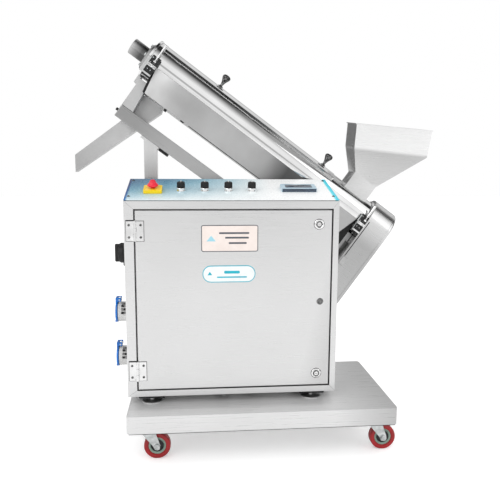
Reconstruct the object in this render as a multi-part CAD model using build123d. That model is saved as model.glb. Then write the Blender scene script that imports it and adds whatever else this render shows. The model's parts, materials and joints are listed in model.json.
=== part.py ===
"""Inclined capsule polisher on a wheeled trolley, modelled in millimetres with +Z up.

The machine lifts filled capsules up a sloping tube with a rotating brush, drops the dust
through a slotted screen into a trough, and sends the polished capsules out of a chute.
A sheet metal control cabinet stands in front of the tube on the same trolley.

While it is being laid out, X runs from the cabinet's left side, Y from the cabinet's front
face towards the back and Z from the floor. At the end every piece moves so that the origin
is the centre of the machine's bounding box at floor level.
"""

import math
import os

from build123d import *

# ---------------------------------------------------------------- driving dimensions
CABINET_WIDTH, CABINET_DEPTH = 600.0, 190.0
CABINET_FRONT_HEIGHT, PANEL_RISE = 560.0, 53.0
CABINET_SHEET = 2.0

DECK_LENGTH, DECK_DEPTH, DECK_HEIGHT = 760.0, 400.0, 50.0
DECK_LEFT, DECK_FRONT = 3.0, -87.0
DECK_SHEET = 2.0
CASTER_HEIGHT = 95.0
WHEEL_RADIUS, WHEEL_WIDTH, CASTER_TRAIL = 37.5, 24.0, 27.0
FOOT_HEIGHT = 22.0

SLOPE = 36.0
TUBE_RADIUS, TUBE_SHEET = 61.5, 1.5
TUBE_START, TUBE_END = -14.0, 815.0
TUBE_REFERENCE = (78.0, 270.0, 1133.8)

RUNNING_GAP = 0.05
BODY_GAP = 0.4

DECK_TOP = CASTER_HEIGHT + DECK_HEIGHT
CABINET_BOTTOM = DECK_TOP + FOOT_HEIGHT
CABINET_FRONT_TOP = CABINET_BOTTOM + CABINET_FRONT_HEIGHT
PANEL_TILT = math.degrees(math.atan2(PANEL_RISE, CABINET_DEPTH))
PANEL_LENGTH = math.hypot(PANEL_RISE, CABINET_DEPTH)

nodes = {}


# ---------------------------------------------------------------- small helpers
def block(x0, x1, y0, y1, z0, z1):
    """A box between two corners."""
    return Pos((x0 + x1) / 2, (y0 + y1) / 2, (z0 + z1) / 2) * Box(x1 - x0, y1 - y0, z1 - z0)


def rod_x(radius, x0, x1, y=0.0, z=0.0):
    """A cylinder along X."""
    return Pos((x0 + x1) / 2, y, z) * Rot(0, 90, 0) * Cylinder(radius, x1 - x0)


def rod_y(radius, y0, y1, x=0.0, z=0.0):
    """A cylinder along Y."""
    return Pos(x, (y0 + y1) / 2, z) * Rot(90, 0, 0) * Cylinder(radius, y1 - y0)


def rod_z(radius, z0, z1, x=0.0, y=0.0):
    """A cylinder along Z."""
    return Pos(x, y, (z0 + z1) / 2) * Cylinder(radius, z1 - z0)


def plate_xz(points, y0, y1):
    """A prism with a polygon in the XZ plane, from y0 to y1."""
    face = make_face(Polyline(*[(x, 0, z) for x, z in points], close=True))
    return Pos(0, y0, 0) * extrude(face, amount=y1 - y0, dir=(0, 1, 0))


def tilted(shape):
    """Places a shape drawn in the tube's frame: X along the tube downwards, Z square to it."""
    return Pos(*TUBE_REFERENCE) * Rot(0, SLOPE, 0) * shape


def on_panel(shape):
    """Places a shape drawn on the control panel: Y up the slope, Z out of the panel."""
    return Pos(0, 0, CABINET_FRONT_TOP) * Rot(PANEL_TILT, 0, 0) * shape


def sector_x(inner, outer, x0, x1, half_angle):
    """Part of a tube wall along X, within half_angle degrees each side of its top line."""
    reach = 2 * outer
    steps = 8
    fan = [(0.0, 0.0)]
    for i in range(steps + 1):
        turn = math.radians(-half_angle + 2 * half_angle * i / steps)
        fan.append((reach * math.sin(turn), reach * math.cos(turn)))
    face = make_face(Polyline(*[(0, y, z) for y, z in fan], close=True))
    wedge = Pos(x0, 0, 0) * extrude(face, amount=x1 - x0, dir=(1, 0, 0))
    return (rod_x(outer, x0, x1) - rod_x(inner, x0 - 1, x1 + 1)) & wedge


def add(name, *solids):
    """Files one node's solids under its name."""
    nodes[name] = Compound([solid for shape in solids for solid in shape.solids()])


# ---------------------------------------------------------------- trolley
RAIL_WIDTH = 80.0
PIVOT_INSET_X, PIVOT_INSET_Y = 53.0, 55.0
PIVOT_X = (DECK_LEFT + PIVOT_INSET_X, DECK_LEFT + DECK_LENGTH - PIVOT_INSET_X)
PIVOT_Y = (DECK_FRONT + PIVOT_INSET_Y, DECK_FRONT + DECK_DEPTH - PIVOT_INSET_Y)
CASTERS = {
    "fl": (PIVOT_X[0], PIVOT_Y[0]),
    "fr": (PIVOT_X[1], PIVOT_Y[0]),
    "rl": (PIVOT_X[0], PIVOT_Y[1]),
    "rr": (PIVOT_X[1], PIVOT_Y[1]),
}
CASTER_PLATE = 3.0
KINGPIN_RADIUS, KINGPIN_LOW = 5.0, 75.6
AXLE_RADIUS = 5.0
WIDE_FOOT, NARROW_FOOT = (37.0, 18.5), (18.0, 8.0)


def deck():
    """Folded deck pan, open below, with a box rail over each pair of casters."""
    x1, y1 = DECK_LEFT + DECK_LENGTH, DECK_FRONT + DECK_DEPTH
    outer = block(DECK_LEFT, x1, DECK_FRONT, y1, CASTER_HEIGHT, DECK_TOP)
    outer = fillet(outer.edges().filter_by(Axis.Z), 10)
    t = DECK_SHEET
    inner = block(DECK_LEFT + t, x1 - t, DECK_FRONT + t, y1 - t, CASTER_HEIGHT - 1, DECK_TOP - t)
    inner = fillet(inner.edges().filter_by(Axis.Z), 8)
    rails = []
    for x in PIVOT_X:
        half = RAIL_WIDTH / 2
        left, right = max(x - half, DECK_LEFT + t + 8), min(x + half, x1 - t - 8)
        low, high = CASTER_HEIGHT, DECK_TOP - t
        rail = block(left, right, DECK_FRONT + t + 1, y1 - t - 1, low, high)
        rail -= block(left + t, right - t, DECK_FRONT, y1, low + t, high - t)
        rails.append(rail)
    return [outer - inner] + rails


def caster_plate(x, y):
    """Top plate with its boss and headed kingpin."""
    top = CASTER_HEIGHT
    plate = block(x - 35, x + 35, y - 35, y + 35, top - CASTER_PLATE, top)
    plate += rod_z(14, top - CASTER_PLATE - 5, top - CASTER_PLATE, x, y)
    plate += rod_z(KINGPIN_RADIUS, KINGPIN_LOW, top - CASTER_PLATE, x, y)
    return plate + rod_z(8, KINGPIN_LOW, KINGPIN_LOW + 3.5, x, y)


def caster_fork(x, y):
    """Swivelling fork: a bearing cup, two legs and the axle bolt through them."""
    top = CASTER_HEIGHT - CASTER_PLATE - 5 - BODY_GAP
    wheel_x = x + CASTER_TRAIL
    cup = rod_z(22, top - 7, top, x, y) - rod_z(KINGPIN_RADIUS + RUNNING_GAP, top - 8, top + 1, x, y)
    leg = [(x - 21, top - 2), (x + 21, top - 2), (wheel_x + 9, WHEEL_RADIUS + 4)]
    leg += [(wheel_x + 6, WHEEL_RADIUS - 9), (wheel_x - 6, WHEEL_RADIUS - 9)]
    leg.append((wheel_x - 12, WHEEL_RADIUS + 3))
    gap = WHEEL_WIDTH / 2 + 2.5
    legs = [plate_xz(leg, y - gap - 2.5, y - gap), plate_xz(leg, y + gap, y + gap + 2.5)]
    fork = cup + legs[0] + legs[1]
    fork -= rod_y(AXLE_RADIUS, y - 30, y + 30, wheel_x, WHEEL_RADIUS)
    axle = rod_y(AXLE_RADIUS, y - gap - 2.5, y + gap + 2.5, wheel_x, WHEEL_RADIUS)
    axle += rod_y(8, y - gap - 7, y - gap - 2.5, wheel_x, WHEEL_RADIUS)
    axle += rod_y(8, y + gap + 2.5, y + gap + 7, wheel_x, WHEEL_RADIUS)
    return [fork, axle]


def caster_wheel(x, y):
    """Hub and tyre of one wheel."""
    wheel_x, half = x + CASTER_TRAIL, WHEEL_WIDTH / 2
    hub_radius = WHEEL_RADIUS - 13
    tread = rod_y(WHEEL_RADIUS, y - half, y + half, wheel_x, WHEEL_RADIUS)
    tread = fillet(tread.edges().filter_by(GeomType.CIRCLE), 3)
    tread -= rod_y(hub_radius, y - 30, y + 30, wheel_x, WHEEL_RADIUS)
    hub = rod_y(hub_radius, y - half + 2, y + half - 2, wheel_x, WHEEL_RADIUS)
    hub += rod_y(10, y - half - 1, y + half + 1, wheel_x, WHEEL_RADIUS)
    hub -= rod_y(AXLE_RADIUS + RUNNING_GAP, y - 30, y + 30, wheel_x, WHEEL_RADIUS)
    return [tread, hub]


def foot(x, y, size):
    """Vibration foot under the cabinet: a pad on a stem with a spread base."""
    pad, stem = size
    low, top = DECK_TOP, CABINET_BOTTOM
    mount = block(x - pad, x + pad, y - 20, y + 20, top - 8, top)
    mount += block(x - stem, x + stem, y - 12, y + 12, low, top - 8)
    return mount + block(x - stem - 4, x + stem + 4, y - 16, y + 16, low, low + 3)


def trolley():
    """Deck, casters, the rubber feet under the cabinet and a rubber buffer."""
    add("base_deck", *deck())
    add("caster_plates", *[caster_plate(x, y) for x, y in CASTERS.values()])
    for corner, (x, y) in CASTERS.items():
        add(f"caster_fork_{corner}", *caster_fork(x, y))
        add(f"caster_wheel_{corner}", *caster_wheel(x, y))
    feet = [foot(x, y, WIDE_FOOT) for x in (66, 534) for y in (30, 160)]
    feet += [foot(276, y, NARROW_FOOT) for y in (56, 160)]
    edge = DECK_LEFT + DECK_LENGTH
    buffer = rod_x(7, edge, edge + 9, DECK_FRONT + 60, CASTER_HEIGHT + DECK_HEIGHT / 2)
    add("rubber_mounts", *feet, buffer, *seals())


# ---------------------------------------------------------------- cabinet and door
DOOR_LEFT, DOOR_RIGHT = 31.0, 579.0
DOOR_LOW, DOOR_HIGH = CABINET_BOTTOM + 22.0, CABINET_FRONT_TOP - 28.0
DOOR_GAP, DOOR_PAN, DOOR_SHEET = 2.5, 18.0, 1.5
STOP_WIDTH = 10.0
HINGE_Z = (CABINET_BOTTOM + 76.0, CABINET_FRONT_TOP - 84.0)
HINGE_HEIGHT, HINGE_LEAF, KNUCKLE_RADIUS = 55.0, 2.0, 4.0
HINGE_X, HINGE_Y = 30.0, -KNUCKLE_RADIUS - 0.5
PIN_RADIUS, PIN_HEAD = 2.0, 3.2
LOCK_X = 543.0
LOCK_Z = (CABINET_BOTTOM + 56.0, CABINET_FRONT_TOP - 67.0)
LOCK_RADIUS, LOCK_BORE = 14.5, 8.0
SCREW_HEAD, SCREW_SHANK = 3.6, 2.0


def profile_cabinet(inset):
    """Side outline of the cabinet with its sloping top, drawn inset millimetres inside."""
    slope_shift = inset / math.cos(math.radians(PANEL_TILT))
    rise = PANEL_RISE / CABINET_DEPTH
    front, back = inset, CABINET_DEPTH - inset
    low = CABINET_BOTTOM + inset
    return [
        (front, low),
        (back, low),
        (back, CABINET_FRONT_TOP + rise * back - slope_shift),
        (front, CABINET_FRONT_TOP + rise * front - slope_shift),
    ]


def cabinet_prism(inset):
    """The cabinet's block, inset on every side."""
    face = make_face(Polyline(*[(0, y, z) for y, z in profile_cabinet(inset)], close=True))
    return Pos(inset, 0, 0) * extrude(face, amount=CABINET_WIDTH - 2 * inset, dir=(1, 0, 0))


def hinge_screw(x, z):
    """Pan head screw into the cabinet's front, through a hinge leaf."""
    head = rod_y(SCREW_HEAD, -HINGE_LEAF - 2, -HINGE_LEAF, x, z)
    return head + rod_y(SCREW_SHANK, -HINGE_LEAF, 10, x, z)


def panel_screw(x, y):
    """Pan head screw square to the control panel."""
    return on_panel(rod_z(4.5, 2, 4.5, x, y) + rod_z(SCREW_SHANK, -8, 2, x, y))


def cabinet_screws():
    """Four hinge screws on the frame side and four at the panel's corners."""
    hinge = [hinge_screw(HINGE_X - 16, z + dz) for z in HINGE_Z for dz in (-17, 17)]
    panel = [panel_screw(x, y) for x in (12, CABINET_WIDTH - 12) for y in (30, PANEL_LENGTH - 18)]
    return hinge + panel


def door_screws():
    """Four hinge screws on the door side."""
    return [hinge_screw(HINGE_X + 16, z + dz) for z in HINGE_Z for dz in (-17, 17)]


def cabinet_shell():
    """Welded shell with a sloping top and a front opening."""
    shell = cabinet_prism(0) - cabinet_prism(CABINET_SHEET)
    g = DOOR_GAP
    shell -= block(DOOR_LEFT - g, DOOR_RIGHT + g, -1, CABINET_SHEET + 0.5, DOOR_LOW - g, DOOR_HIGH + g)
    for x in SELECTOR_X:
        shell -= on_panel(rod_z(SELECTOR_BARREL, -6, 1, x, SELECTOR_Y))
    shell -= on_panel(rod_z(SELECTOR_BARREL, -6, 1, ESTOP_X, ESTOP_Y))
    shell -= rod_x(ISOLATOR_SHAFT + 1, -1, 4, ISOLATOR_Y, ISOLATOR_Z)
    for z in SOCKET_Z:
        shell -= rod_x(SOCKET_BARREL, -1, 4, SOCKET_Y, z)
    for screw in cabinet_screws():
        shell -= screw
    return shell


def door_stop():
    """Stop frame welded inside the shell, behind the door."""
    y0, y1 = DOOR_PAN + 2, DOOR_PAN + 4
    w = STOP_WIDTH
    stop = block(0, CABINET_WIDTH, y0, y1, CABINET_BOTTOM, CABINET_FRONT_TOP)
    stop -= block(DOOR_LEFT + w, DOOR_RIGHT - w, y0 - 1, y1 + 1, DOOR_LOW + w, DOOR_HIGH - w)
    return stop & cabinet_prism(CABINET_SHEET)


def door():
    """Folded door pan, flush with the cabinet's front frame."""
    t = DOOR_SHEET
    pan = block(DOOR_LEFT, DOOR_RIGHT, 0, DOOR_PAN, DOOR_LOW, DOOR_HIGH)
    pan -= block(DOOR_LEFT + t, DOOR_RIGHT - t, t, DOOR_PAN + 1, DOOR_LOW + t, DOOR_HIGH - t)
    for z in LOCK_Z:
        pan -= rod_y(LOCK_BORE + 3, -1, 5, LOCK_X, z)
    for screw in door_screws():
        pan -= screw
    return pan


def door_gasket():
    """Rubber frame between the door's folded edge and the stop flange."""
    y0, y1 = DOOR_PAN + BODY_GAP, DOOR_PAN + 2
    w = STOP_WIDTH
    ring = block(DOOR_LEFT, DOOR_RIGHT, y0, y1, DOOR_LOW, DOOR_HIGH)
    return ring - block(DOOR_LEFT + w, DOOR_RIGHT - w, y0 - 1, y1 + 1, DOOR_LOW + w, DOOR_HIGH - w)


def hinge(z, side):
    """One leaf of a butt hinge with its share of the knuckle. side -1 is the frame's leaf."""
    half = HINGE_HEIGHT / 2
    x0, x1 = sorted((HINGE_X + side * 1.0, HINGE_X + side * 24.0))
    leaf = block(x0, x1, -HINGE_LEAF, 0, z - half, z + half)
    reach = sorted((HINGE_X, HINGE_X + side * 6.0))
    third = HINGE_HEIGHT / 3
    spans = [(z - half, z - half + third), (z + half - third, z + half)]
    if side > 0:
        spans = [(z - half + third + BODY_GAP, z + half - third - BODY_GAP)]
    whole = None
    for low, high in spans:
        knuckle = rod_z(KNUCKLE_RADIUS, low, high, HINGE_X, HINGE_Y)
        knuckle += block(reach[0], reach[1], -HINGE_LEAF - 0.5, 0, low, high)
        whole = knuckle if whole is None else whole + knuckle
    other = sorted((HINGE_X, HINGE_X - side * 8.0))
    inside = rod_z(KNUCKLE_RADIUS + BODY_GAP, z - half - 1, z + half + 1, HINGE_X, HINGE_Y)
    leaf = leaf - inside - block(other[0], other[1], -9, 1, z - half - 1, z + half + 1) + whole
    bore = PIN_RADIUS if side < 0 else PIN_RADIUS + RUNNING_GAP
    return leaf - rod_z(bore, z - half - 1, z + half + 1, HINGE_X, HINGE_Y)


def hinge_pin(z):
    """Loose pin with a small head."""
    half = HINGE_HEIGHT / 2
    pin = rod_z(PIN_RADIUS, z - half, z + half, HINGE_X, HINGE_Y)
    return pin + rod_z(PIN_HEAD, z + half, z + half + 2, HINGE_X, HINGE_Y)


def lock_housing(z):
    """Round lock body with a raised rim, through the door skin."""
    body = rod_y(LOCK_RADIUS, -4, 0, LOCK_X, z)
    body = fillet(body.edges().filter_by(GeomType.CIRCLE).sort_by(Axis.Y)[0], 1.5)
    body += rod_y(LOCK_BORE + 3, 0, 16, LOCK_X, z)
    body -= rod_y(LOCK_BORE + RUNNING_GAP, -1.5, 17, LOCK_X, z)
    return body - rod_y(LOCK_BORE - 1.5, -5, 0, LOCK_X, z)


def lock_cam(z, side):
    """Key barrel with its slot and a tongue that points up or down when it is unlocked."""
    barrel = rod_y(LOCK_BORE, -1.5 + BODY_GAP, 24, LOCK_X, z)
    barrel += rod_y(LOCK_BORE - 2, -3.5, 0, LOCK_X, z)
    barrel -= block(LOCK_X - 4, LOCK_X + 4, -4, -1, z - 1, z + 1)
    z0, z1 = sorted((z - 8 * side, z + 33 * side))
    return barrel + block(LOCK_X - 8, LOCK_X + 8, DOOR_PAN + 5, DOOR_PAN + 8, z0, z1)


def cabinet():
    """Control cabinet with its door, hinges, locks and plates."""
    add("cabinet_shell", cabinet_shell())
    add("door_stop_frame", door_stop())
    add("door_panel", door())
    add("door_gasket", door_gasket())
    frame_leaves, door_leaves = [], []
    for z in HINGE_Z:
        frame_leaf, door_leaf = hinge(z, -1), hinge(z, 1)
        for screw in cabinet_screws():
            frame_leaf -= screw
        for screw in door_screws():
            door_leaf -= screw
        frame_leaves += [frame_leaf, hinge_pin(z)]
        door_leaves.append(door_leaf)
    add("hinge_frame_leaves", *frame_leaves)
    add("hinge_door_leaves", *door_leaves)
    add("cabinet_screws", *cabinet_screws())
    add("door_screws", *door_screws())
    add("lock_housings", *[lock_housing(z) for z in LOCK_Z])
    add("lock_cam_lower", lock_cam(LOCK_Z[0], 1))
    add("lock_cam_upper", lock_cam(LOCK_Z[1], -1))
    name = block(211, 370, -1.5, 0, CABINET_FRONT_TOP - 143, CABINET_FRONT_TOP - 68)
    name = fillet(name.edges().filter_by(Axis.Y), 5)
    badge_z = CABINET_FRONT_TOP - 206
    badge = block(214 + 24, 363 - 24, -1.5, 0, badge_z - 24, badge_z + 24)
    badge += rod_y(24, -1.5, 0, 214 + 24, badge_z) + rod_y(24, -1.5, 0, 363 - 24, badge_z)
    add("door_plates", name, badge)


# ---------------------------------------------------------------- controls
PANEL_SHEET = 2.0
ESTOP_X, ESTOP_Y, ESTOP_BOX = 76.0, 77.0, (52.0, 50.0, 10.0)
ESTOP_STEM, ESTOP_TRAVEL = 6.0, 4.0
SELECTOR_X, SELECTOR_Y = (155.0, 223.0, 291.0, 359.0), 84.0
SELECTOR_BARREL, SELECTOR_COLLAR, SELECTOR_KNOB = 11.0, 13.0, 12.0
SELECTOR_STEM = 4.0
DISPLAY = (445.0, 548.0, 68.0, 113.0, 11.0)
ISOLATOR_Y, ISOLATOR_Z, ISOLATOR_SHAFT = 80.0, 572.0, 5.0
SOCKET_Y, SOCKET_Z, SOCKET_BARREL = 80.0, (266.0, 399.0), 25.0
SOCKET_RADIUS, SOCKET_BORE, SOCKET_REACH = 29.0, 21.0, 30.0
SOCKET_HINGE_RISE, SOCKET_PIN = 37.0, 2.5


def panel_plate():
    """Printed overlay plate on the cabinet's sloping top, with holes for the controls."""
    plate = block(1, CABINET_WIDTH - 1, 1, PANEL_LENGTH - 1, 0, PANEL_SHEET)
    for x in SELECTOR_X:
        plate -= rod_z(SELECTOR_BARREL, -1, 3, x, SELECTOR_Y)
    plate -= rod_z(SELECTOR_BARREL, -1, 3, ESTOP_X, ESTOP_Y)
    plate = on_panel(plate)
    for screw in cabinet_screws():
        plate -= screw
    return plate


def estop():
    """Yellow emergency stop box and its red push button."""
    w, d, h = ESTOP_BOX
    low, top = PANEL_SHEET, PANEL_SHEET + h
    box = block(ESTOP_X - w / 2, ESTOP_X + w / 2, ESTOP_Y - d / 2, ESTOP_Y + d / 2, low, top)
    box = fillet(box.edges().filter_by(Axis.Z), 4)
    box += rod_z(SELECTOR_BARREL, -16, low, ESTOP_X, ESTOP_Y)
    box -= rod_z(ESTOP_STEM + RUNNING_GAP, -14, top + 1, ESTOP_X, ESTOP_Y)
    clear = top + ESTOP_TRAVEL + BODY_GAP
    button = rod_z(ESTOP_STEM, -6, clear, ESTOP_X, ESTOP_Y)
    outline = [(0, clear), (13, clear), (16, clear + 2), (16, clear + 5), (10.5, clear + 10)]
    outline += [(8, clear + 16), (5, clear + 18.5), (0, clear + 19)]
    face = make_face(Polyline(*[(r, 0, z) for r, z in outline], close=True))
    button += Pos(ESTOP_X, ESTOP_Y, 0) * revolve(face, Axis.Z, 360)
    add("estop_housing", on_panel(box))
    add("estop_button", on_panel(button))


def selector_collar(x):
    """Chrome collar of one selector with its barrel below the panel."""
    collar = rod_z(SELECTOR_COLLAR, PANEL_SHEET, PANEL_SHEET + 9, x, SELECTOR_Y)
    collar = chamfer(collar.edges().filter_by(GeomType.CIRCLE).sort_by(Axis.Z)[-1], 1.2)
    collar += rod_z(SELECTOR_BARREL, -22, PANEL_SHEET, x, SELECTOR_Y)
    return on_panel(collar - rod_z(SELECTOR_STEM + RUNNING_GAP, -20, 30, x, SELECTOR_Y))


def selector_knob(x):
    """Black turning knob with a pointer rib."""
    low = PANEL_SHEET + 9 + BODY_GAP
    knob = rod_z(SELECTOR_KNOB, low, low + 15, x, SELECTOR_Y)
    knob = fillet(knob.edges().filter_by(GeomType.CIRCLE).sort_by(Axis.Z)[-1], 1.5)
    knob += block(x - 1.5, x + 1.5, SELECTOR_Y, SELECTOR_Y + 11, low + 14, low + 17)
    return on_panel(knob + rod_z(SELECTOR_STEM, -15, low, x, SELECTOR_Y))


def isolator():
    """Mains switch on the left wall: black base and turning handle."""
    y, z = ISOLATOR_Y, ISOLATOR_Z
    base = block(-9, 0, y - 31, y + 31, z - 34, z + 31)
    base = fillet(base.edges().filter_by(Axis.X), 5)
    base -= rod_x(ISOLATOR_SHAFT + RUNNING_GAP, -10, 1, y, z)
    knob = rod_x(29, -25, -9 - BODY_GAP, y, z)
    knob = chamfer(knob.edges().filter_by(GeomType.CIRCLE).sort_by(Axis.X)[0], 3)
    knob += block(-36, -24, y - 8, y + 8, z - 27, z + 27)
    knob += rod_x(ISOLATOR_SHAFT, -9 - BODY_GAP, 24, y, z)
    add("isolator_body", base)
    add("isolator_knob", knob)


def socket_body(z):
    """Panel socket: square flange, round body with its plug recess and a hinge lug on top."""
    y = SOCKET_Y
    flange = block(-4, 0, y - 33, y + 33, z - 33, z + 33)
    flange = fillet(flange.edges().filter_by(Axis.X), 5)
    body = flange + rod_x(SOCKET_RADIUS, -SOCKET_REACH, -4, y, z) + rod_x(SOCKET_BARREL, -4, 20, y, z)
    pin_z = z + SOCKET_HINGE_RISE
    lug = block(-SOCKET_REACH, -SOCKET_REACH + 9, y - 8, y + 8, z + 20, pin_z)
    lug += rod_y(4.5, y - 8, y + 8, -SOCKET_REACH + 4.5, pin_z)
    body += lug
    body -= rod_x(SOCKET_BORE, -SOCKET_REACH - 1, -6, y, z)
    for turn in (90, 210, 330):
        angle = math.radians(turn)
        body -= rod_x(2.6, -8, 12, y + 11 * math.cos(angle), z + 11 * math.sin(angle))
    return body - rod_y(SOCKET_PIN + RUNNING_GAP, y - 20, y + 20, -SOCKET_REACH + 4.5, pin_z)


def socket_lid(z):
    """Spring lid over a socket, hanging from two ears, with its hinge pin."""
    y, pin_x, pin_z = SOCKET_Y, -SOCKET_REACH + 4.5, z + SOCKET_HINGE_RISE
    x1 = -SOCKET_REACH - 0.6
    lid = rod_x(31, x1 - 6, x1, y, z)
    lid = fillet(lid.edges().filter_by(GeomType.CIRCLE).sort_by(Axis.X)[0], 2)
    lid += block(x1 - 6, x1, y - 15, y + 15, z, pin_z + 6)
    for y0, y1 in ((y - 15, y - 8.5), (y + 8.5, y + 15)):
        lid += block(x1 - 2, pin_x + 5, y0, y1, pin_z - 5.5, pin_z + 6)
    lid += block(x1 - 9, x1 - 5, y - 9, y + 9, z - 30, z - 24)
    return lid + rod_y(SOCKET_PIN, y - 15, y + 15, pin_x, pin_z)


def control_gear():
    """Mounting plate inside the cabinet with the speed drive, contactors and terminals."""
    back = CABINET_DEPTH - CABINET_SHEET
    front = back - 8
    low = CABINET_BOTTOM + 40
    plate = block(60, 540, front - 2, front, low, low + 430)
    spacers = [rod_y(6, front, back, x, z) for x in (80, 520) for z in (low + 20, low + 410)]
    drive = block(90, 190, front - 102, front - 2, low + 240, low + 400)
    drive -= block(100, 180, front - 103, front - 98, low + 330, low + 390)
    rail = block(230, 500, front - 10, front - 2, low + 318, low + 340)
    contactors = [block(x, x + 44, front - 82, front - 10, low + 290, low + 370) for x in (240, 300, 360)]
    breaker = block(425, 479, front - 72, front - 10, low + 288, low + 374)
    supply = block(240, 340, front - 92, front - 2, low + 120, low + 230)
    starts = [240 + 12 * i for i in range(18)]
    terminals = [block(x, x + 10, front - 42, front - 2, low + 30, low + 80) for x in starts]
    duct = block(80, 500, front - 42, front - 2, low + 250, low + 272) - drive - supply
    duct -= block(80, 200, front - 60, front, low + 240, low + 280)
    return [plate] + spacers + [drive, rail, breaker, supply, duct] + contactors + terminals


def controls():
    """Everything on the panel and the left wall, and the gear inside."""
    add("panel_plate", panel_plate())
    estop()
    add("selector_collars", *[selector_collar(x) for x in SELECTOR_X])
    for number, x in enumerate(SELECTOR_X, start=1):
        add(f"selector_knob_{number}", selector_knob(x))
    x0, x1, y0, y1, high = DISPLAY
    case = block(x0, x1, y0, y1, PANEL_SHEET, PANEL_SHEET + high)
    case = fillet(case.edges().filter_by(Axis.Z), 3)
    window = block(x0 + 12, x1 - 12, y0 + 9, y1 - 9, PANEL_SHEET + high - 1.5, PANEL_SHEET + high)
    add("speed_display", on_panel(case - window), on_panel(window))
    isolator()
    add("socket_bodies", *[socket_body(z) for z in SOCKET_Z])
    add("socket_lid_lower", socket_lid(SOCKET_Z[0]))
    add("socket_lid_upper", socket_lid(SOCKET_Z[1]))
    add("control_gear", *control_gear())


# ---------------------------------------------------------------- frame behind the cabinet
SECTION = 40.0
SECTION_WALL = 2.0
BEAM_TOP, BEAM_LOW = -163.0, -204.0
BEAM_START, BEAM_END = -10.0, 814.0
POST_X = (58.0, 380.0)
FOOT_PLATE = 6.0
END_DISC = 66.0
DISC_THICKNESS = 6.0
SHAFT_RADIUS = 10.0
LOWER_LEG = (796.0, 814.0)


def beam():
    """Sloping square tube that carries the polishing tube."""
    half = SECTION / 2
    outer = block(BEAM_START, BEAM_END, -half, half, BEAM_LOW, BEAM_TOP)
    t = SECTION_WALL
    inner = block(BEAM_START + t, BEAM_END - t, -half + t, half - t, BEAM_LOW + t, BEAM_TOP - t)
    return tilted(outer - inner)


def under_beam():
    """Everything below the beam's underside, to trim the posts."""
    return tilted(block(-400, 1400, -60, 60, BEAM_LOW - 1400, BEAM_LOW - 8))


def post(x):
    """Upright with its foot plate, closed at the top by a sloping head plate."""
    y, half, t = TUBE_REFERENCE[1], SECTION / 2, SECTION_WALL
    outer = block(x - half, x + half, y - half, y + half, DECK_TOP + FOOT_PLATE, 1000)
    inner = block(x - half + t, x + half - t, y - half + t, y + half - t, DECK_TOP + FOOT_PLATE, 1001)
    tube = (outer - inner) & under_beam()
    foot = block(x - 42, x + 42, y - 40, y + 40, DECK_TOP, DECK_TOP + FOOT_PLATE)
    for bolt in foot_bolts(x):
        foot -= bolt
    turn = math.radians(SLOPE)
    along = (x - TUBE_REFERENCE[0] - BEAM_LOW * math.sin(turn)) / math.cos(turn)
    head = tilted(block(along - 32, along + 32, -half, half, BEAM_LOW - 8, BEAM_LOW))
    return tube + foot + head


def foot_bolts(x):
    """Four bolts through a post's foot plate into the deck."""
    y, low = TUBE_REFERENCE[1], DECK_TOP + FOOT_PLATE
    bolts = []
    for dx in (-32, 32):
        for dy in (-30, 30):
            head = extrude(RegularPolygon(7.5, 6), amount=6)
            bolts.append(Pos(x + dx, y + dy, low) * head + rod_z(4, DECK_TOP, low, x + dx, y + dy))
    return bolts


def tube_fasteners():
    """Two bolts under the trough's edge and one on the beam's upper end."""
    under = [rod_z(4.5, TROUGH_LOW - 8, TROUGH_LOW, 108, -40)]
    under.append(block(164, 176, -TROUGH_HALF, -TROUGH_HALF + 10, TROUGH_LOW - 4, TROUGH_LOW))
    end = rod_x(4.5, BEAM_START - 8, BEAM_START, -10, (BEAM_LOW + BEAM_TOP) / 2)
    return [tilted(piece) for piece in under + [end]]


def seals():
    """Black seals at both ends of the trough, its edge strips and the clip under the beam."""
    tube = rod_x(TUBE_RADIUS + 0.2, -60, 900)
    t0, t1 = TROUGH_START_TOP, TROUGH_START_LOW
    upper = [(t0 - SEAL, TROUGH_TOP), (t0, TROUGH_TOP), (t1, TROUGH_LOW), (t1 - SEAL, TROUGH_LOW)]
    e0, e1, leg = TROUGH_END, TROUGH_END_LOW, LOWER_LEG[0]
    foot = TROUGH_LOW - 23
    lower = [(e0, TROUGH_TOP), (leg, TROUGH_TOP), (leg, foot), (e1 + 14, foot), (e1, TROUGH_LOW)]
    half = TROUGH_HALF - 3
    pieces = [plate_xz(upper, -half, half) - tube, plate_xz(lower, -half, half) - tube]
    pieces.append(block(193, TROUGH_END_LOW, -TROUGH_HALF, -TROUGH_HALF + 6, TROUGH_LOW - 2, TROUGH_LOW))
    pieces.append(block(158, 192, -SECTION / 2 + 2, SECTION / 2 - 2, BEAM_LOW - 8.5, BEAM_LOW))
    pieces.append(block(*GUARD_SEAM, -GUARD_RADIUS - 0.8, -GUARD_RADIUS, -132, 0))
    return [tilted(piece) for piece in pieces]


def upper_bracket():
    """End disc of the tube's upper end on its tapered leg, with the latch's lug."""
    disc = rod_x(END_DISC, TUBE_START - DISC_THICKNESS, TUBE_START)
    half = SECTION / 2
    leg = plate_xz([(-10, -67), (18.5, -67), (23.6, -96), (30, BEAM_TOP), (-10, BEAM_TOP)], -half, half)
    neck = block(TUBE_START - DISC_THICKNESS, -9, -half, half, -86, -61.5)
    lug = block(TUBE_START - DISC_THICKNESS, 14, LATCH_BACK, -TUBE_RADIUS - 0.5, -50, 0)
    disc = disc + neck + leg + lug
    return tilted(disc - rod_x(SHAFT_RADIUS + 1, -60, 0))


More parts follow.
